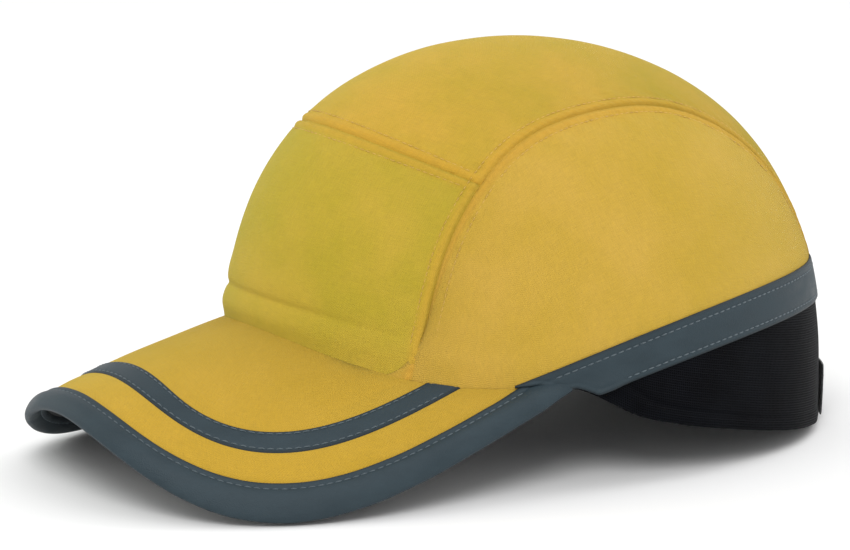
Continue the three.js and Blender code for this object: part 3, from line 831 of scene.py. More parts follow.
def noise_node(tree, vector, scale, detail=3.0, roughness=0.55):
    made = add_node(tree, "ShaderNodeTexNoise",
                    {"Vector": vector, "Scale": scale, "Detail": detail, "Roughness": roughness})
    return made.outputs[0]


def sine(tree, value, pitch, shift=0.0):
    return math_node(tree, "SINE", math_node(
        tree, "MULTIPLY_ADD", value, 2 * math.pi / pitch, shift))


def mix_colour(tree, share, first, second, blend_type="MIX"):
    made = add_node(tree, "ShaderNodeMix", data_type="RGBA", blend_type=blend_type)
    for k, value in ((0, share), (6, first), (7, second)):
        socket = made.inputs[k]
        if isinstance(value, bpy.types.NodeSocket):
            tree.links.new(value, socket)
        else:
            socket.default_value = value
    return made.outputs[2]


def remap(tree, value, low, high, new_low=0.0, new_high=1.0):
    made = add_node(tree, "ShaderNodeMapRange", {
        "Value": value, "From Min": low, "From Max": high, "To Min": new_low, "To Max": new_high})
    return made.outputs[0]


def bump(tree, shader, height, distance, strength=1.0):
    made = add_node(tree, "ShaderNodeBump", {
        "Height": height, "Distance": distance, "Strength": strength})
    tree.links.new(made.outputs[0], shader.inputs["Normal"])


def rgb(red, green, blue):
    """Display colour (0 to 255) as a linear colour."""
    def linear(c):
        c /= 255
        return c / 12.92 if c <= 0.04045 else ((c + 0.055) / 1.055) ** 2.4
    return (linear(red), linear(green), linear(blue), 1.0)


def woven(name, light, dark, seam_painted_shading, pitch=0.0007, slub=0.26, sheen=0.22, sheen_tint=None,
          roughness=0.85, spread=26.0):
    """Plain-weave cloth with uneven yarns, drifting colour and painted shading beside its seams.
    """
    made, tree, shader = new_material(
        name, Roughness=roughness, Sheen_Weight=sheen, Sheen_Roughness=0.55,
        Specular_IOR_Level=0.25)
    if sheen_tint:
        shader.inputs["Sheen Tint"].default_value = sheen_tint
    x, y, uv = cloth_axes(tree)
    weave = math_node(tree, "MULTIPLY", sine(tree, x, pitch), sine(tree, y, pitch))
    warp = noise_node(tree, scaled(tree, uv, (260, 2600, 1)), 1.0, 2.0)
    weft = noise_node(tree, scaled(tree, uv, (2600, 260, 1)), 1.0, 2.0)
    yarn = math_node(tree, "MULTIPLY_ADD", math_node(tree, "ADD", warp, weft), 1.0, -1.0)
    drift = noise_node(tree, object_place(tree), spread, 4.0, 0.6)
    body = mix_colour(tree, remap(tree, drift, 0.34, 0.66), dark, light)
    # Painted shading of the puckered seams: the seam mark mixes the cloth towards the seam colour,
    # a darker, more orange yellow on the yellow finishes.
    seam = add_node(tree, "ShaderNodeAttribute", attribute_name="seam").outputs["Fac"]
    body = mix_colour(tree, math_node(tree, "MULTIPLY", seam, 0.6), body, seam_painted_shading)
    shade = math_node(tree, "MULTIPLY_ADD", yarn, slub, 1.0)
    shade = math_node(tree, "MULTIPLY_ADD", weave, 0.05, shade)
    grey = add_node(tree, "ShaderNodeCombineColor", {0: shade, 1: shade, 2: shade}).outputs[0]
    body = mix_colour(tree, 1.0, body, grey, "MULTIPLY")
    tree.links.new(body, shader.inputs["Base Color"])
    height = math_node(tree, "MULTIPLY_ADD", yarn, 1.2, math_node(tree, "MULTIPLY", weave, 0.5))
    bump(tree, shader, height, 0.00016)
    rough = math_node(tree, "MULTIPLY_ADD", yarn, 0.2, roughness)
    tree.links.new(rough, shader.inputs["Roughness"])
    return made


def tape(name, colour, worn):
    """Retro-reflective tape: fine glass beads on cloth, scuffed, with painted shade darkening it
    along its edges.
    """
    made, tree, shader = new_material(
        name, Roughness=0.5, Metallic=0.1, Specular_IOR_Level=0.3)
    spot = object_place(tree)
    beads = add_node(tree, "ShaderNodeTexVoronoi", {"Vector": spot, "Scale": 2600.0}).outputs[0]
    scuff = noise_node(tree, scaled(tree, spot, (60, 60, 160)), 1.0, 5.0, 0.65)
    body = mix_colour(tree, remap(tree, scuff, 0.35, 0.7), colour, worn)
    # Painted shade: the edge mark darkens the tape to 45 % of its colour along its edges and where
    # the binding meets the brim.
    edge = add_node(tree, "ShaderNodeAttribute", attribute_name="edge").outputs["Fac"]
    dark = tuple(c * 0.45 for c in colour[:3]) + (1.0,)
    body = mix_colour(tree, math_node(tree, "MULTIPLY", edge, 0.85), body, dark)
    tree.links.new(body, shader.inputs["Base Color"])
    tree.links.new(remap(tree, scuff, 0.3, 0.7, 0.44, 0.62), shader.inputs["Roughness"])
    height = math_node(tree, "MULTIPLY_ADD", beads, 0.5, math_node(tree, "MULTIPLY", scuff, 0.6))
    bump(tree, shader, height, 0.0002)
    return made


def knit_mesh(name, colour, thread):
    """Knitted mesh: rows of holes between shiny yarns."""
    made, tree, shader = new_material(
        name, Roughness=0.8, Specular_IOR_Level=0.04)
    x, y, uv = cloth_axes(tree)
    pitch = 0.0017
    first = sine(tree, math_node(tree, "ADD", x, y), pitch)
    second = sine(tree, math_node(tree, "SUBTRACT", x, y), pitch, 1.1)
    holes = remap(tree, math_node(tree, "MULTIPLY", first, second), 0.05, 0.55)
    drift = noise_node(tree, object_place(tree), 60.0)
    yarn = mix_colour(tree, remap(tree, drift, 0.35, 0.65), colour, thread)
    black = (0.0012, 0.0013, 0.0016, 1.0)
    tree.links.new(mix_colour(tree, holes, yarn, black), shader.inputs["Base Color"])
    height = math_node(tree, "MULTIPLY_ADD", holes, -1.0, math_node(
        tree, "MULTIPLY", sine(tree, y, pitch / 3), 0.15))
    bump(tree, shader, height, 0.00035)
    tree.links.new(remap(tree, holes, 0, 1, 0.55, 0.95), shader.inputs["Roughness"])
    return made


def pile(name, colour, tips, scale, depth, roughness=0.9):
    """Pile, terry or foam: a bed of small round tufts or cells."""
    made, tree, shader = new_material(
        name, Roughness=roughness, Specular_IOR_Level=0.2, Sheen_Weight=0.4, Sheen_Roughness=0.6)
    spot = object_place(tree)
    cells = add_node(tree, "ShaderNodeTexVoronoi", {"Vector": spot, "Scale": scale}).outputs[0]
    fluff = noise_node(tree, spot, scale * 0.4, 4.0, 0.7)
    shade = math_node(tree, "MULTIPLY", math_node(tree, "SUBTRACT", 1.0, cells), fluff)
    body = mix_colour(tree, remap(tree, shade, 0.1, 0.6), colour, tips)
    tree.links.new(body, shader.inputs["Base Color"])
    bump(tree, shader, math_node(tree, "MULTIPLY_ADD", fluff, 0.6, math_node(
        tree, "MULTIPLY", cells, -1.0)), depth)
    tree.links.new(remap(tree, fluff, 0.3, 0.7, roughness - 0.1, roughness + 0.08),
                   shader.inputs["Roughness"])
    return made


def moulded(name, colour, worn, roughness, grain=900.0):
    """Moulded plastic or rubber with a fine spark grain and paler rubbed spots."""
    made, tree, shader = new_material(name, Roughness=roughness, Specular_IOR_Level=0.5)
    spot = object_place(tree)
    fine = noise_node(tree, spot, grain, 2.0, 0.5)
    wide = noise_node(tree, spot, 35.0, 5.0, 0.6)
    body = mix_colour(tree, remap(tree, wide, 0.4, 0.75), colour, worn)
    tree.links.new(body, shader.inputs["Base Color"])
    tree.links.new(remap(tree, wide, 0.3, 0.7, roughness - 0.08, roughness + 0.12),
                   shader.inputs["Roughness"])
    bump(tree, shader, math_node(tree, "MULTIPLY_ADD", wide, 0.2, fine), 0.00008)
    return made


def fibrous(name, colour, dark, scale=500.0):
    """Stiff non-woven or board: short fibres in every direction."""
    made, tree, shader = new_material(name, Roughness=0.8, Specular_IOR_Level=0.3)
    spot = object_place(tree)
    long_fibres = noise_node(tree, scaled(tree, spot, (1, 0.16, 0.5)), scale, 4.0, 0.7)
    cross = noise_node(tree, scaled(tree, spot, (0.16, 1, 0.5)), scale, 4.0, 0.7)
    fibre = math_node(tree, "MULTIPLY", long_fibres, cross)
    tree.links.new(mix_colour(tree, remap(tree, fibre, 0.15, 0.35), dark, colour),
                   shader.inputs["Base Color"])
    tree.links.new(remap(tree, fibre, 0.15, 0.35, 0.9, 0.7), shader.inputs["Roughness"])
    bump(tree, shader, fibre, 0.0003)
    return made


def thread(name, colour, dark):
    """Sewing thread: a twist that runs across each stitch."""
    made, tree, shader = new_material(
        name, Roughness=0.6, Specular_IOR_Level=0.4, Sheen_Weight=0.2)
    spot = object_place(tree)
    split = add_node(tree, "ShaderNodeSeparateXYZ", {0: spot})
    slope = math_node(tree, "ADD", math_node(tree, "ADD", split.outputs[0], split.outputs[1]),
                      split.outputs[2])
    twist = sine(tree, slope, 0.00028)
    fuzz = noise_node(tree, spot, 1800.0)
    shade = math_node(tree, "MULTIPLY_ADD", twist, 0.25, fuzz)
    tree.links.new(mix_colour(tree, remap(tree, shade, 0.2, 0.8), dark, colour),
                   shader.inputs["Base Color"])
    tree.links.new(remap(tree, fuzz, 0.3, 0.7, 0.5, 0.75), shader.inputs["Roughness"])
    bump(tree, shader, twist, 0.00006)
    return made


# The third colour of each woven finish is the painted shading of its seams.
SHEEN_YELLOW = (0.75, 0.85, 0.2, 1.0)
# One hi-vis fabric in four copies. Each panel's yellow is set to the light and shade that panel
# gets: greener on the front, brightest on the sides, darkest on the brim. These are painted light
# and shade.
front_yellow_painted_shading = woven("hi_vis_front_painted_shading", rgb(182, 153, 50), rgb(168, 147, 38), rgb(190, 146, 46),
                     sheen_tint=SHEEN_YELLOW)
crown_yellow_painted_shading = woven("hi_vis_crown_painted_shading", rgb(190, 151, 54), rgb(174, 145, 40), rgb(194, 146, 46),
                     sheen_tint=SHEEN_YELLOW)
side_yellow_painted_shading = woven("hi_vis_side_painted_shading", rgb(193, 155, 62), rgb(184, 149, 48), rgb(196, 146, 48),
                    sheen_tint=SHEEN_YELLOW)
brim_yellow_painted_shading = woven("hi_vis_brim_painted_shading", rgb(187, 148, 47), rgb(179, 142, 37), rgb(182, 136, 42),
                    sheen_tint=SHEEN_YELLOW)
slate_tape = tape("slate_reflective_tape", rgb(35, 49, 56), rgb(44, 58, 65))
black_mesh = knit_mesh("black_neck_mesh", rgb(7, 8, 12), rgb(13, 15, 20))
black_cloth = woven("black_twill", rgb(30, 31, 34), rgb(21, 22, 25), rgb(34, 35, 38), slub=0.35,
                    sheen=0.25)
black_webbing = woven("black_webbing", rgb(22, 23, 26), rgb(14, 15, 17), rgb(26, 27, 30),
                      pitch=0.0016, slub=0.3, sheen=0.2)
loop_pile = pile("loop_pile", rgb(16, 17, 19), rgb(46, 48, 52), 1400.0, 0.0006)
hook_tape = pile("hook_tape", rgb(20, 21, 23), rgb(52, 54, 58), 900.0, 0.0003, 0.6)
pad_foam = pile("pad_foam", rgb(58, 61, 66), rgb(84, 88, 94), 1100.0, 0.0003)
terry = pile("terry_cotton", rgb(30, 32, 36), rgb(66, 70, 76), 950.0, 0.0009, 0.95)
abs_plastic = moulded("abs_plastic", rgb(34, 36, 40), rgb(48, 51, 56), 0.42)
soft_rubber = moulded("soft_rubber", rgb(26, 27, 30), rgb(38, 40, 44), 0.62, 1500.0)
board_plastic = moulded("board_plastic", rgb(196, 198, 196), rgb(180, 182, 178), 0.5)
buckram = fibrous("buckram", rgb(222, 219, 208), rgb(172, 168, 156))
lining = fibrous("lining_tape", rgb(34, 35, 39), rgb(16, 17, 19))
grey_thread = thread("grey_thread", rgb(92, 108, 116), rgb(62, 76, 84))
yellow_thread = thread("yellow_thread", rgb(222, 180, 72), rgb(206, 164, 58))
black_thread = thread("black_thread", rgb(48, 50, 54), rgb(22, 23, 26))


# ---------------------------------------------------------------- putting pieces on the cap
def show(ob, body, slot_name, material, *nodes, form=None):
    """Give a piece its finish and body, and the CAD nodes that it stands for."""
    ob.data.materials.clear()
    ob.data.materials.append(material)
    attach(ob, body)
    if nodes:
        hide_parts(*nodes)
    if form == "padded":
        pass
    elif form:
        width, length, area, rests_on = form
        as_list(rests_on)
    return ob


def keep_cad(node, material):
    """A CAD node whose shape is right keeps its mesh and gets a full material."""
    ob = next(o for o in bpy.data.objects if o.name == node)
    for material_slot in ob.material_slots:
        material_slot.material = material


# ---- crown panels
BASE_ROLL_HEIGHT = 4.4
BASE_CREASE_HEIGHT = 10.4


def base_roll(base, along, across):
    """Soft roll at the front panel's foot, with a crease above it that fades to the left."""
    angle = np.degrees(np.arctan2(base[..., 0], -(base[..., 1] - crown_middle(base[..., 2]))))
    above = base[..., 2] - junction_height(angle)
    share = np.clip((42 - angle) / 50, 0, 1)
    fade = 0.15 + 0.85 * share * share * (3 - 2 * share)
    wave = 1 + 0.25 * np.sin(np.radians(angle) * 9)
    roll = 1.25 * bell(above, BASE_ROLL_HEIGHT, 4.2)
    crease = -0.85 * bell(above, BASE_CREASE_HEIGHT, 1.3)
    shoulder = 0.45 * bell(above, BASE_CREASE_HEIGHT + 5, 4.5)
    return fade * (roll + crease * wave + shoulder)


def foot_tuck(base, along, across):
    """The side panel's soft edge above the reflective band."""
    from_low = across[:, -1:] - across
    return 0.3 * bell(from_low, 11, 4.0) - 0.25 * bell(from_low, 0, 3.0)


def neck_relief(base, along, across):
    angle = angle_round(base)
    above = base[..., 2] - rim_height(angle)
    hem = 0.35 * bell(above, 2.6, 2.2) - 0.3 * bell(above, 5.6, 0.7)
    return hem + 0.35 * noise_field(base, 22, 8.1)


front = fabric_panel("front_panel_cloth", front_panel_patch(), (170, "both"), (150, "both"), 1.0,
                     ("u0", "u1", "v1"), base_roll)
show(front, "cover", "hi_vis_fabric", front_yellow_painted_shading, "front_panel",
     form=(0.13, 0.095, 0.0101, ["front_stiffener"]))
crown = fabric_panel("crown_panel_cloth", crown_strip_patch(), (110, "both"), (330, "none"), 2.0,
                     ("u0", "u1", "v0"))
show(crown, "cover", "hi_vis_fabric", crown_yellow_painted_shading, "crown_panel",
     form=(0.108, 0.225, 0.0196, ["vented_shell"]))
for side, sign, seed in (("left", 1, 3.0), ("right", -1, 4.0)):
    panel = fabric_panel(f"side_panel_cloth_{side}", side_panel_patch(sign), (360, "none"),
                         (110, "first"), seed, ("v0",), foot_tuck)
    show(panel, "cover", "hi_vis_fabric", side_yellow_painted_shading, f"side_panel_{side}",
         form=(0.215, 0.088, 0.0130, ["vented_shell"]))
    neck = fabric_panel(f"neck_mesh_cloth_{side}", neck_patch(sign), (200, "none"),
                        (60, "first"), seed + 4, (), neck_relief)
    show(neck, "cover", "black_mesh", black_mesh, f"neck_mesh_{side}",
         form=(0.195, 0.047, 0.0067, ["sweatband"]))

# ---- twin topstitching beside each seam
TOPSTITCH_SHIFT = 2.0  # degrees round the crown
SEAM_STITCH = (-0.03, 2.3, 1.8, 0.4, 0.03)  # lift, pitch, length, width, height
for sign, side in ((1, "left"), (-1, "right")):
    for shift, where in ((TOPSTITCH_SHIFT, "outer"), (-TOPSTITCH_SHIFT, "inner")):
        def seam_run(t, sign=sign, shift=shift):
            return side_seam_point(mix(front_foot + 3, rear_foot - 3, t), sign, shift)
        row = crown_stitches(f"seam_stitching_{side}_{where}", seam_run, *SEAM_STITCH)
        show(row, "cover", "hi_vis_fabric", yellow_thread)
for shift, where in ((TOPSTITCH_SHIFT, "upper"), (-TOPSTITCH_SHIFT, "lower")):
    def front_run(t, shift=shift):
        s = mix(-corner_aside + 2.4, corner_aside - 2.4, t)
        return seam_point(front_seam_about(s) + shift, s)
    row = crown_stitches(f"seam_stitching_front_{where}", front_run, *SEAM_STITCH)
    show(row, "cover", "hi_vis_fabric", yellow_thread)

# ---- reflective band round the back
BAND_LIFT, BAND_THICKNESS = 0.12, 0.85
BAND_OVER_BRIM = 1.75
BAND_STITCH_TOP, BAND_STITCH_LOW = 2.7, 1.9


def band_profile(base, along, across):
    from_top = across[:, -1:] - across
    edge = np.minimum(across, from_top)
    sewn = bell(from_top, BAND_STITCH_TOP, 0.55) + bell(across, BAND_STITCH_LOW, 0.55)
    over_brim = bell(np.abs(angle_round(base)), BRIM_END_ANGLE, 3.6) * bell(across, 0, 5)
    flat = BAND_THICKNESS - 0.35 * bell(edge, 0, 0.35) - 0.22 * sewn
    return BAND_OVER_BRIM * over_brim + flat + 0.07 * noise_field(base, 16, 6.0)


band = layered("reflective_band_cloth", band_patch, (440, "none"), (34, "both"), BAND_LIFT,
               band_profile)
show(band, "cover", "reflective_tape", slate_tape, "rear_reflective_band",
     form=(0.0138, 0.41, None, ["side_panel_cloth_left", "side_panel_cloth_right"]))
for where, start, level in (
        ("upper", band_from + 7, lambda a: band_line(round_angle(a), BAND_STITCH_TOP)),
        ("lower", BRIM_END_ANGLE + 6, lambda a: band_bottom(a) + BAND_STITCH_LOW)):
    def band_run(t, start=start, level=level):
        angle = mix(start, 360 - start, t)
        return crown_point(angle, level(angle))
    row = crown_stitches(f"band_stitching_{where}", band_run, BAND_LIFT + 0.66)
    show(row, "cover", "reflective_tape", grey_thread)

# ---- brim
STRIPE_STITCH = 1.3
UNDER_PITCH = 6.5
UNDER_ROWS = [15 + UNDER_PITCH * k for k in range(6)]
UNDER_ROWS_SEWN = 4


def top_relief(flat, inset):
    puff = 0.28 * np.sin(np.pi * np.clip((inset - BINDING_WIDTH) / 14, 0, 1))
    held = 0.2 * (bell(inset, STRIPE_FROM + STRIPE_STITCH, 1.2)
                  + bell(inset, STRIPE_TO - STRIPE_STITCH, 1.2))
    free = np.clip((inset - STRIPE_TO) / 12, 0, 1)
    return puff - held + 0.3 * free * noise_field(flat, 30, 9.0)


def under_relief(flat, inset):
    rows = sum(bell(inset, at, 0.8) for at in UNDER_ROWS)
    puff = 0.35 * np.abs(np.sin(np.pi * (inset - UNDER_ROWS[0]) / UNDER_PITCH))
    return np.where(inset > UNDER_ROWS[0], puff, 0) - 0.2 * rows


upper = brim_sheet("brim_top_cloth", 0.05, -BRIM_FABRIC, top_relief)
show(upper, "cover", "hi_vis_fabric", brim_yellow_painted_shading, "brim_top_cover",
     form=(0.18, 0.148, 0.0150, ["brim_board"]))
lower = brim_sheet("brim_under_cloth", -BRIM_STACK, -BRIM_STACK + BRIM_FABRIC, under_relief, -1)
show(lower, "cover", "black_fabric", black_cloth, "brim_under_cover",
     form=(0.18, 0.148, 0.0150, ["brim_board"]))
binding = edge_binding()
show(binding, "cover", "reflective_tape", slate_tape, "brim_edge_binding")


def stripe_profile(v):
    across = v * (STRIPE_TO - STRIPE_FROM)
    edge = np.minimum(across, STRIPE_TO - STRIPE_FROM - across)
    return 0.5 - 0.3 * bell(edge, 0, 0.4) - 0.16 * bell(edge, STRIPE_STITCH, 0.5)


stripe = brim_strip("brim_stripe_cloth", STRIPE_FROM, STRIPE_TO, 30, stripe_profile, -0.06)
show(stripe, "cover", "reflective_tape", slate_tape, "brim_reflective_stripe",
     form=(0.01, 0.235, None, ["brim_top_cloth"]))
ON_TAPE = ("reflective_tape", grey_thread)
sewn_lines = [
    ("binding_stitching_upper", BINDING_STITCH, 0.6, 0.01, STITCH_HEIGHT, *ON_TAPE),
    ("stripe_stitching_outer", STRIPE_FROM + STRIPE_STITCH, 0.30, 0.012, STITCH_HEIGHT, *ON_TAPE),
    ("stripe_stitching_inner", STRIPE_TO - STRIPE_STITCH, 0.30, 0.012, STITCH_HEIGHT, *ON_TAPE),
]
sewn_lines += [
    (f"under_brim_stitching_{k + 1}", inset, -BRIM_STACK - 0.04, 0.02, -STITCH_HEIGHT,
     "black_fabric", black_thread) for k, inset in enumerate(UNDER_ROWS[:UNDER_ROWS_SEWN])]
sewn_lines.append(
    ("binding_stitching_lower", BINDING_STITCH, -3.2, 0.01, -STITCH_HEIGHT, *ON_TAPE))
for name, inset, lift, margin, height, slot_name, finish in sewn_lines:
    line = brim_line(inset)
    row = brim_stitches(name, lambda t, line=line, m=margin: line(mix(m, 1 - m, t)), lift,
                        height=height)
    show(row, "cover", slot_name, finish)

# ---- tapes, straps and bindings
def strap_patch(start, end, low, high):
    """Upright strip across the back, level with the rim behind."""
    def patch(u, v):
        return crown_point(mix(start, end, u), RIM_KNOTS[4][1] + mix(low, high, v))
    return patch


def edge_distance(along, across):
    return np.minimum(np.minimum(along, along[-1:] - along),
                      np.minimum(across, across[:, -1:] - across))


def strip_profile(thick, sewn=1.6, drop=0.3):
    """Flat strip with soft edges and a sewn line inside them."""
    def profile(base, along, across):
        near = edge_distance(along, across)
        return (thick * (1 - drop * bell(near, 0, 0.6)) - 0.16 * bell(near, sewn, 0.4)
                + 0.04 * noise_field(base, 9, 2.0))
    return profile


def webbing_profile(base, along, across):
    near = edge_distance(along, across)
    cord = 0.10 * np.sin(2 * np.pi * across / 1.5) * np.sin(2 * np.pi * along / 2.2)
    return 1.3 - 0.4 * bell(near, 0, 0.6) + cord - 0.2 * bell(near, 2.0, 0.45)


def hook_profile(base, along, across):
    near = edge_distance(along, across)
    hooks = np.sin(2 * np.pi * across / 1.4) * np.sin(2 * np.pi * along / 1.4)
    return 0.42 + 0.16 * np.clip(hooks, 0, 1) * (near > 0.7)


def ribbed_profile(base, along, across):
    near = edge_distance(along, across)
    ribs = np.clip(np.sin(2 * np.pi * along / 1.9), 0, 1) * (near > 1.3)
    return 1.0 * (1 - 0.55 * bell(near, 0, 0.9)) + 0.2 * ribs


def loop_profile(base, along, across):
    near = edge_distance(along, across)
    return 0.74 * (1 - 0.3 * bell(near, 0, 0.7)) + 0.06 * noise_field(base, 1.6, 4.0)


LINING_DEPTH, LINING_THICKNESS = 1.4, 0.58
RIM_TAPE_HEIGHT = 12.0
RIM_TAPE_END = 152.0
STRAP_TOP = STRAP_BOTTOM + STRAP_WIDTH
HOOK_MARGIN = 2.0
TAB_BOTTOM, TAB_TOP = 5.0, 17.0
for name, body, slot_name, finish, node, patch, rows, columns, lift, profile, inward, form in (
        ("rim_tape_cloth", "cover", "black_fabric", lining, "rim_tape",
         rim_strip_patch(-RIM_TAPE_END, RIM_TAPE_END, 0.2, 0.2 + RIM_TAPE_HEIGHT),
         (420, "none"), (30, "both"), -LINING_DEPTH, strip_profile(LINING_THICKNESS), True,
         (0.0120, 0.475, None, ["front_panel_cloth"])),
        ("loop_tab_pile", "cover", "hook_and_loop", loop_pile, "loop_tab",
         strap_patch(152, 186, STRAP_BOTTOM, STRAP_TOP),
         (200, "none"), (100, "none"), LOOP_LIFT, loop_profile, False,
         (0.0180, 0.062, None, ["neck_mesh_cloth_left"])),
        ("hook_patch_hooks", "rear_strap", "hook_and_loop", hook_tape, "hook_patch",
         strap_patch(171, 185, STRAP_BOTTOM + HOOK_MARGIN, STRAP_TOP - HOOK_MARGIN),
         (170, "none"), (110, "none"), HOOK_LIFT, hook_profile, True,
         (0.0140, 0.026, None, ["hook_strap_webbing"])),
        ("hook_strap_webbing", "rear_strap", "black_fabric", black_webbing, "hook_strap",
         strap_patch(170, 212, STRAP_BOTTOM, STRAP_TOP),
         (330, "none"), (120, "none"), STRAP_LIFT, webbing_profile, False,
         (0.0180, 0.078, None, ["hook_patch_hooks"])),
        ("pull_tab_ribbed", "rear_strap", "soft_rubber", soft_rubber, "pull_tab",
         strap_patch(162, 169.6, TAB_BOTTOM, TAB_TOP),
         (110, "none"), (60, "none"), STRAP_LIFT, ribbed_profile, False, None)):
    strip = layered(name, patch, rows, columns, lift, profile, inward)
    show(strip, body, slot_name, finish, node, form=form)

TAPE_HALF_WIDTH = 4.0


def opening_patch(u, v):
    """Border of the half-moon opening."""
    def edge(border):
        x = (OPENING_HALF_WIDTH + border) * np.cos(np.pi * u)
        turned = np.degrees(np.arcsin(x / SIDE_REACH[0]))
        return crown_point(180 - turned, opening_edge(x, border) + 1)
    return on_crown(mix(edge(0.4), edge(OPENING_BORDER), v[..., None]) - CENTRE)


def over_rim_tape(about):
    p = side_seam_point(about)
    return p[..., 2] - rim_height(angle_round(p)) > RIM_TAPE_HEIGHT + 4


lining_aside = corner_aside - TAPE_HALF_WIDTH - 1.2
tape_foot = -float(turning_point(55, 112, lambda a: over_rim_tape(-a)))


def front_tape_patch(u, v):
    s = mix(-lining_aside, lining_aside, u)
    return seam_point(front_seam_about(s) + mix(-TAPE_HALF_WIDTH, TAPE_HALF_WIDTH, v), s)


def side_tape_patch(sign):
    def patch(u, v):
        about = mix(tape_foot, rear_foot - 4, u)
        return side_seam_point(about, sign, mix(-TAPE_HALF_WIDTH, TAPE_HALF_WIDTH, v))
    return patch


edging = layered("opening_binding_cloth", opening_patch, (260, "none"), (24, "both"), LAYER_GAP,
                 strip_profile(LINING_THICKNESS, 0.9))
show(edging, "cover", "black_fabric", lining, "rear_opening_binding")


def cut_size(patch):
    """Mean width and length of a strip before it is sewn in, metres."""
    base = patch(*grid((80, "none"), (12, "none")))
    return arc(base, 1)[:, -1].mean() / 1000, arc(base, 0)[-1].mean() / 1000


for name, node, patch, rows in (
        ("seam_tape_cloth_front", "seam_tape_front", front_tape_patch, 90),
        ("seam_tape_cloth_left", "seam_tape_left", side_tape_patch(1), 300),
        ("seam_tape_cloth_right", "seam_tape_right", side_tape_patch(-1), 300)):
    made = layered(name, patch, (rows, "none"), (30, "both"), -LINING_DEPTH,
                   strip_profile(LINING_THICKNESS), inward=True)
    show(made, "cover", "black_fabric", lining, node,
         form=(*cut_size(patch), None, ["front_stiffener"]))

# ---- foam pads and sweatband
CHANNEL_WIDTH = 1.1
HELD_EDGE, HELD_CHANNEL = 0.9, 0.6
FOAM_SWELL = 1.1
SIM_STEPS = 20
CROWN_PAD_RADIUS, CROWN_PAD_DROP = 34.0, 6.0
CROWN_PAD_RING = 13.0
pads = []


def pad_mesh(name, shell_side, head_side, distance, channels, wrap=False):
    """Closed pad between two faces, rounded at its edges and pinched at its sewn channels.
    distance is each point's distance from the edge, channels its closeness to a channel."""
    t = np.clip(distance / 4.5, 0, 1)[..., None]
    full = 0.22 + 0.78 * np.sqrt(1 - (1 - t) ** 2)
    middle = mix(shell_side, head_side, 0.5)
    pinch = channels[..., None]
    outer = mix(middle, shell_side, full * 0.94)
    inner = mix(middle, head_side, full * (0.86 - 0.72 * pinch))
    ob = solid(name, place(outer), place(inner), wrap, marks={"seam": channels})
    held = (distance < HELD_EDGE) | (channels > HELD_CHANNEL)
    group = ob.vertex_groups.new(name="held")
    tied = np.concatenate([place(outer)[held], place(inner)[held]])
    lookup = {tuple(np.round(p, 6)) for p in tied}
    fixed = [v.index for v in ob.data.vertices if tuple(np.round(v.co, 6)) in lookup]
    group.add(fixed, 1.0, "REPLACE")
    pads.append(ob)
    return ob


def wall_pad(name, start, end, low, high, rows, columns, pitch):
    patch = rim_strip_patch(start, end, low, high)
    u, v = grid((rows, "none"), (columns, "none"))
    base = patch(u, v)
    normal = crown_normal(base)
    along, across = arc(base, 0), arc(base, 1)
    middle = float(along[-1].mean()) / 2
    count = int(middle / pitch)
    channels = np.zeros(along.shape)
    for k in range(-count, count + 1):
        channels = np.maximum(channels, bell(along, middle + k * pitch, CHANNEL_WIDTH))
    channels = channels * (edge_distance(along, across) > 3.5)
    return pad_mesh(name, base - normal * PAD_DEPTH,
                    base - normal * (PAD_DEPTH + PAD_THICKNESS),
                    edge_distance(along, across), channels)


def crown_pad(name):
    """Round pad at the top of the dome, flat below, with a sewn ring and a centre tuft."""
    radius = CROWN_PAD_RADIUS
    turn = np.linspace(0, 2 * np.pi, 97)[:-1][:, None]
    r = radius * (1 - spaced(44, "none") * 0.985)[None, :]
    x, y = r * np.sin(turn), crown_middle(CROWN_HEIGHT) + r * np.cos(turn)
    over = on_crown(stack(1.06 * x, 1.06 * y, CROWN_HEIGHT - CENTRE[2]))
    top = under_crown(over, PAD_DEPTH)
    level = CROWN_HEIGHT - PAD_DEPTH - PAD_THICKNESS - CROWN_PAD_DROP
    flat = stack(top[..., 0], top[..., 1], level)
    distance = radius - r + 0 * x
    ring = bell(distance, CROWN_PAD_RING, CHANNEL_WIDTH)
    channels = np.maximum(ring, bell(distance, radius, 2.2))
    return pad_mesh(name, top, flat, distance, channels, wrap=True)


def sweatband(name):
    u, v = grid((420, "none"), (40, "both"))
    patch = rim_strip_patch(-180, 180, BAND_ABOVE_RIM, BAND_ABOVE_RIM + SWEATBAND_HEIGHT)
    base = patch(u, v)[:-1]
    normal = crown_normal(base)
    along, across = arc(base, 0), arc(base, 1)
    distance = np.minimum(across, across[:, -1:] - across)
    channels = bell(distance, 3.4, 0.9) * 0.6
    return pad_mesh(name, base - normal * PAD_DEPTH,
                    base - normal * (PAD_DEPTH + SWEATBAND_THICKNESS), distance, channels, True)


def inflate(group, swell):
    """Cloth simulation: each pad's cover swells between its edges and its sewn channels."""
    rest = {}
    for ob in group:
        rest[ob.name] = np.array([v.co for v in ob.data.vertices])
        cloth = ob.modifiers.new("fill", "CLOTH")
        made = cloth.settings
        made.quality = 3
        made.mass = 0.2
        made.tension_stiffness = made.compression_stiffness = 12
        made.shear_stiffness = 6
        made.bending_stiffness = 0.4
        made.use_pressure = True
        made.uniform_pressure_force = 4
        made.effector_weights.gravity = 0
        made.vertex_group_mass = "held"
        cloth.point_cache.frame_start, cloth.point_cache.frame_end = 1, SIM_STEPS
    for step in range(1, SIM_STEPS + 1):
        bpy.context.scene.frame_set(step)
    graph = bpy.context.evaluated_depsgraph_get()
    for ob in group:
        shown = ob.evaluated_get(graph).data
        moved = np.array([v.co for v in shown.vertices]) - rest[ob.name]
        far = np.linalg.norm(moved, axis=1, keepdims=True)
        moved *= np.minimum(1, swell / 1000 / np.maximum(far, 1e-9))
        ob.modifiers.clear()
        ob.data.vertices.foreach_set("co", (rest[ob.name] + moved).ravel())
        ob.data.update()
    bpy.context.scene.frame_set(1)


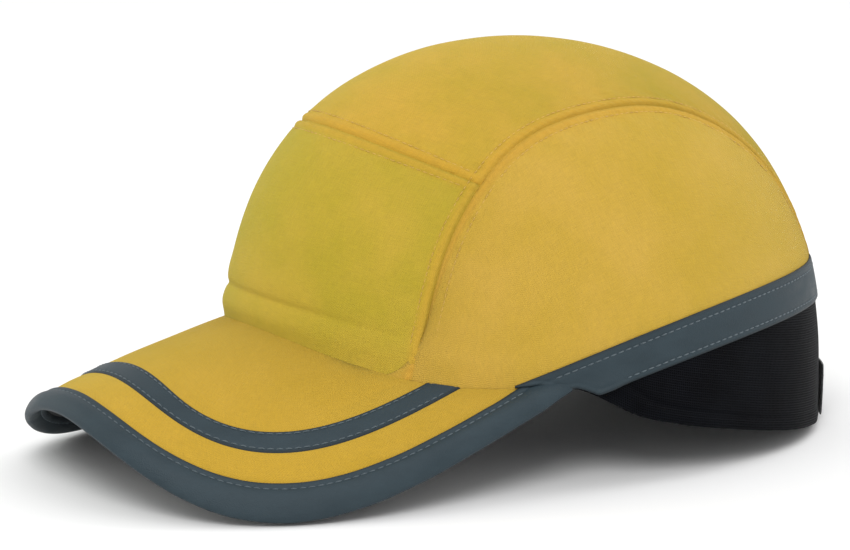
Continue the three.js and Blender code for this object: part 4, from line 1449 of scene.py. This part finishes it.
PAD_GRID = (110, 56)
for name, node, start, end, low, high, pitch in (
        ("front_pad_foam", "front_pad", -36, 36, 0, 24, 22),
        ("side_pad_foam_left", "side_pad_left", 72, 114, 0, 40, 20),
        ("side_pad_foam_right", "side_pad_right", -114, -72, 0, 40, 20),
        ("rear_pad_foam", "rear_pad", 152, 208, 6, 50, 22)):
    pad = wall_pad(name, start, end, PAD_ABOVE_RIM + low, PAD_ABOVE_RIM + high, *PAD_GRID, pitch)
    show(pad, "insert", "foam", pad_foam, node, form="padded")
show(crown_pad("crown_pad_foam"), "insert", "foam", pad_foam, "crown_pad", form="padded")
show(sweatband("sweatband_terry"), "insert", "terry", terry, "sweatband", form="padded")
inflate(pads, FOAM_SWELL)

# ---- shell with ventilation slots
SLOT_LENGTH, SLOT_WIDTH, SLOT_DEPTH = 15.0, 7.0, 10.0
SLOT_ABOUTS = (-42, -14, 14, 42)
SLOT_ASIDES = (-43, -21, 21, 43)
SLOT_STEPS = 14


def dome_patch(u, v):
    """Dome from a height over the rim (v = 0) to the top of the crown (v = 1)."""
    angle = mix(-180, 180, u)
    low = crown_point(angle, rim_height(angle) + SHELL_ABOVE_RIM) - CENTRE
    top = np.array([0, crown_middle(CROWN_HEIGHT), CROWN_HEIGHT]) - CENTRE
    low = low / np.linalg.norm(low, axis=-1, keepdims=True)
    top = top / np.linalg.norm(top)
    turn = np.arccos(np.clip(low @ top, -1, 1))[..., None]
    v = v[..., None]
    return on_crown((np.sin((1 - v) * turn) * low + np.sin(v * turn) * top) / np.sin(turn))


def slot_rods():
    """Round-ended prisms through the shell, one for each slot."""
    half = (SLOT_LENGTH - SLOT_WIDTH) / 2
    turns = np.linspace(0, np.pi, SLOT_STEPS)
    x = np.concatenate([np.cos(turns), -np.cos(turns)]) * SLOT_WIDTH / 2
    y = np.concatenate([np.sin(turns), -np.sin(turns)]) * SLOT_WIDTH / 2
    y += np.repeat([half, -half], SLOT_STEPS)
    around = len(x)
    points, faces = [], []
    for about in SLOT_ABOUTS:
        for aside in SLOT_ASIDES:
            p = seam_point(about, aside)
            out = crown_normal(p)
            across = np.cross([0, 1, 0], out)
            across /= np.linalg.norm(across)
            along = np.cross(out, across)
            first = len(points)
            for depth in (-SLOT_DEPTH / 2, SLOT_DEPTH / 2):
                middle = p + out * (depth - SHELL_DEPTH)
                points += [middle + across * a + along * b for a, b in zip(x, y)]
            low = [first + k for k in range(around)]
            faces += [low[::-1], [k + around for k in low]]
            faces += [[k, first + (k - first + 1) % around,
                       first + (k - first + 1) % around + around, k + around] for k in low]
    return build("slot_rods", place(np.array(points)), faces)


def vented_shell(name):
    u, v = grid((260, "none"), (90, "none"))
    base = dome_patch(u, v)[:-1]
    normal = crown_normal(base)
    ob = solid(name, place(base - normal * SHELL_DEPTH),
               place(base - normal * (SHELL_DEPTH + SHELL_THICKNESS)), wrap=True)
    rods = slot_rods()
    cut = ob.modifiers.new("slots", "BOOLEAN")
    cut.operation, cut.solver, cut.object = "DIFFERENCE", "EXACT", rods
    graph = bpy.context.evaluated_depsgraph_get()
    made = bpy.data.meshes.new_from_object(ob.evaluated_get(graph))
    ob.modifiers.clear()
    ob.data = made
    bpy.data.objects.remove(rods)
    return ob


show(vented_shell("vented_shell"), "insert", "abs", abs_plastic, "abs_shell")

for node, finish in (("brim_board", board_plastic), ("front_stiffener", buckram)):
    keep_cad(node, finish)

# ---------------------------------------------------------------- studio
def sight():
    """Camera at the product view's angle, from the side and slightly above, rolled."""
    turn, rise, roll = (math.radians(a) for a in (SIGHT_AZIMUTH, SIGHT_ELEVATION, SIGHT_ROLL))
    right = np.array([math.cos(turn), math.sin(turn), 0])
    back = np.array([math.sin(turn) * math.cos(rise), -math.cos(turn) * math.cos(rise),
                     math.sin(rise)])
    up = np.cross(back, right)
    across = math.cos(roll) * right + math.sin(roll) * up
    above = math.cos(roll) * up - math.sin(roll) * right
    where = np.array(SIGHT_TARGET) + SIGHT_DISTANCE * back
    aside, high = SIGHT_OFFSET
    back = back * SIGHT_DISTANCE - across * aside - above * high
    back /= np.linalg.norm(back)
    across -= back * (across @ back)
    across /= np.linalg.norm(across)
    axes = TILT @ np.stack([across, np.cross(back, across), back], 1)
    data = bpy.data.cameras.new("sight")
    made = bpy.data.objects.new("sight", data)
    made.matrix_world = (Matrix.Translation(place(where).tolist())
                         @ Matrix(axes.tolist()).to_4x4())
    data.sensor_width = SENSOR
    data.lens = SIGHT_DISTANCE * SENSOR / SIGHT_WIDTH
    data.clip_start, data.clip_end = 0.05, 30
    bpy.context.scene.collection.objects.link(made)
    bpy.context.scene.camera = made


def soft_light(name, size, energy, where, target, colour=(1, 1, 1)):
    data = bpy.data.lights.new(name, "AREA")
    data.shape = "DISK"
    data.size = size
    data.energy = energy
    data.color = colour
    made = bpy.data.objects.new(name, data)
    made.location = where
    made.rotation_mode = "QUATERNION"
    made.rotation_quaternion = (Vector(target) - Vector(where)).to_track_quat("-Z", "Y")
    bpy.context.scene.collection.objects.link(made)


def studio():
    """Pale floor, white surroundings and three soft lights."""
    floor_material, tree, shader = new_material("studio_floor", Roughness=0.9)
    tint = noise_node(tree, object_place(tree), 3.0, 2.0)
    tree.links.new(mix_colour(tree, tint, (0.86, 0.86, 0.86, 1), (0.9, 0.9, 0.9, 1)),
                   shader.inputs["Base Color"])
    bpy.ops.mesh.primitive_plane_add(size=30, location=(0, 0, -0.0006))
    floor = bpy.context.object
    floor.name = "studio_floor"
    floor.data.materials.append(floor_material)
    world = bpy.data.worlds.new("studio")
    world.use_nodes = True
    background = world.node_tree.nodes["Background"]
    background.inputs[0].default_value = (1.0, 1.0, 1.0, 1.0)
    background.inputs[1].default_value = 0.9
    bpy.context.scene.world = world
    soft_light("key", 0.9, 16, (1.1, -0.9, 1.3), (0, 0, 0.06))
    soft_light("fill", 1.2, 5, (-1.3, -1.0, 0.9), (0, 0, 0.06), (0.95, 1.0, 0.9))
    soft_light("rim", 0.8, 6, (0.2, 1.4, 1.2), (0, 0, 0.08))
    bpy.context.scene.view_settings.view_transform = "Standard"


sight()
studio()
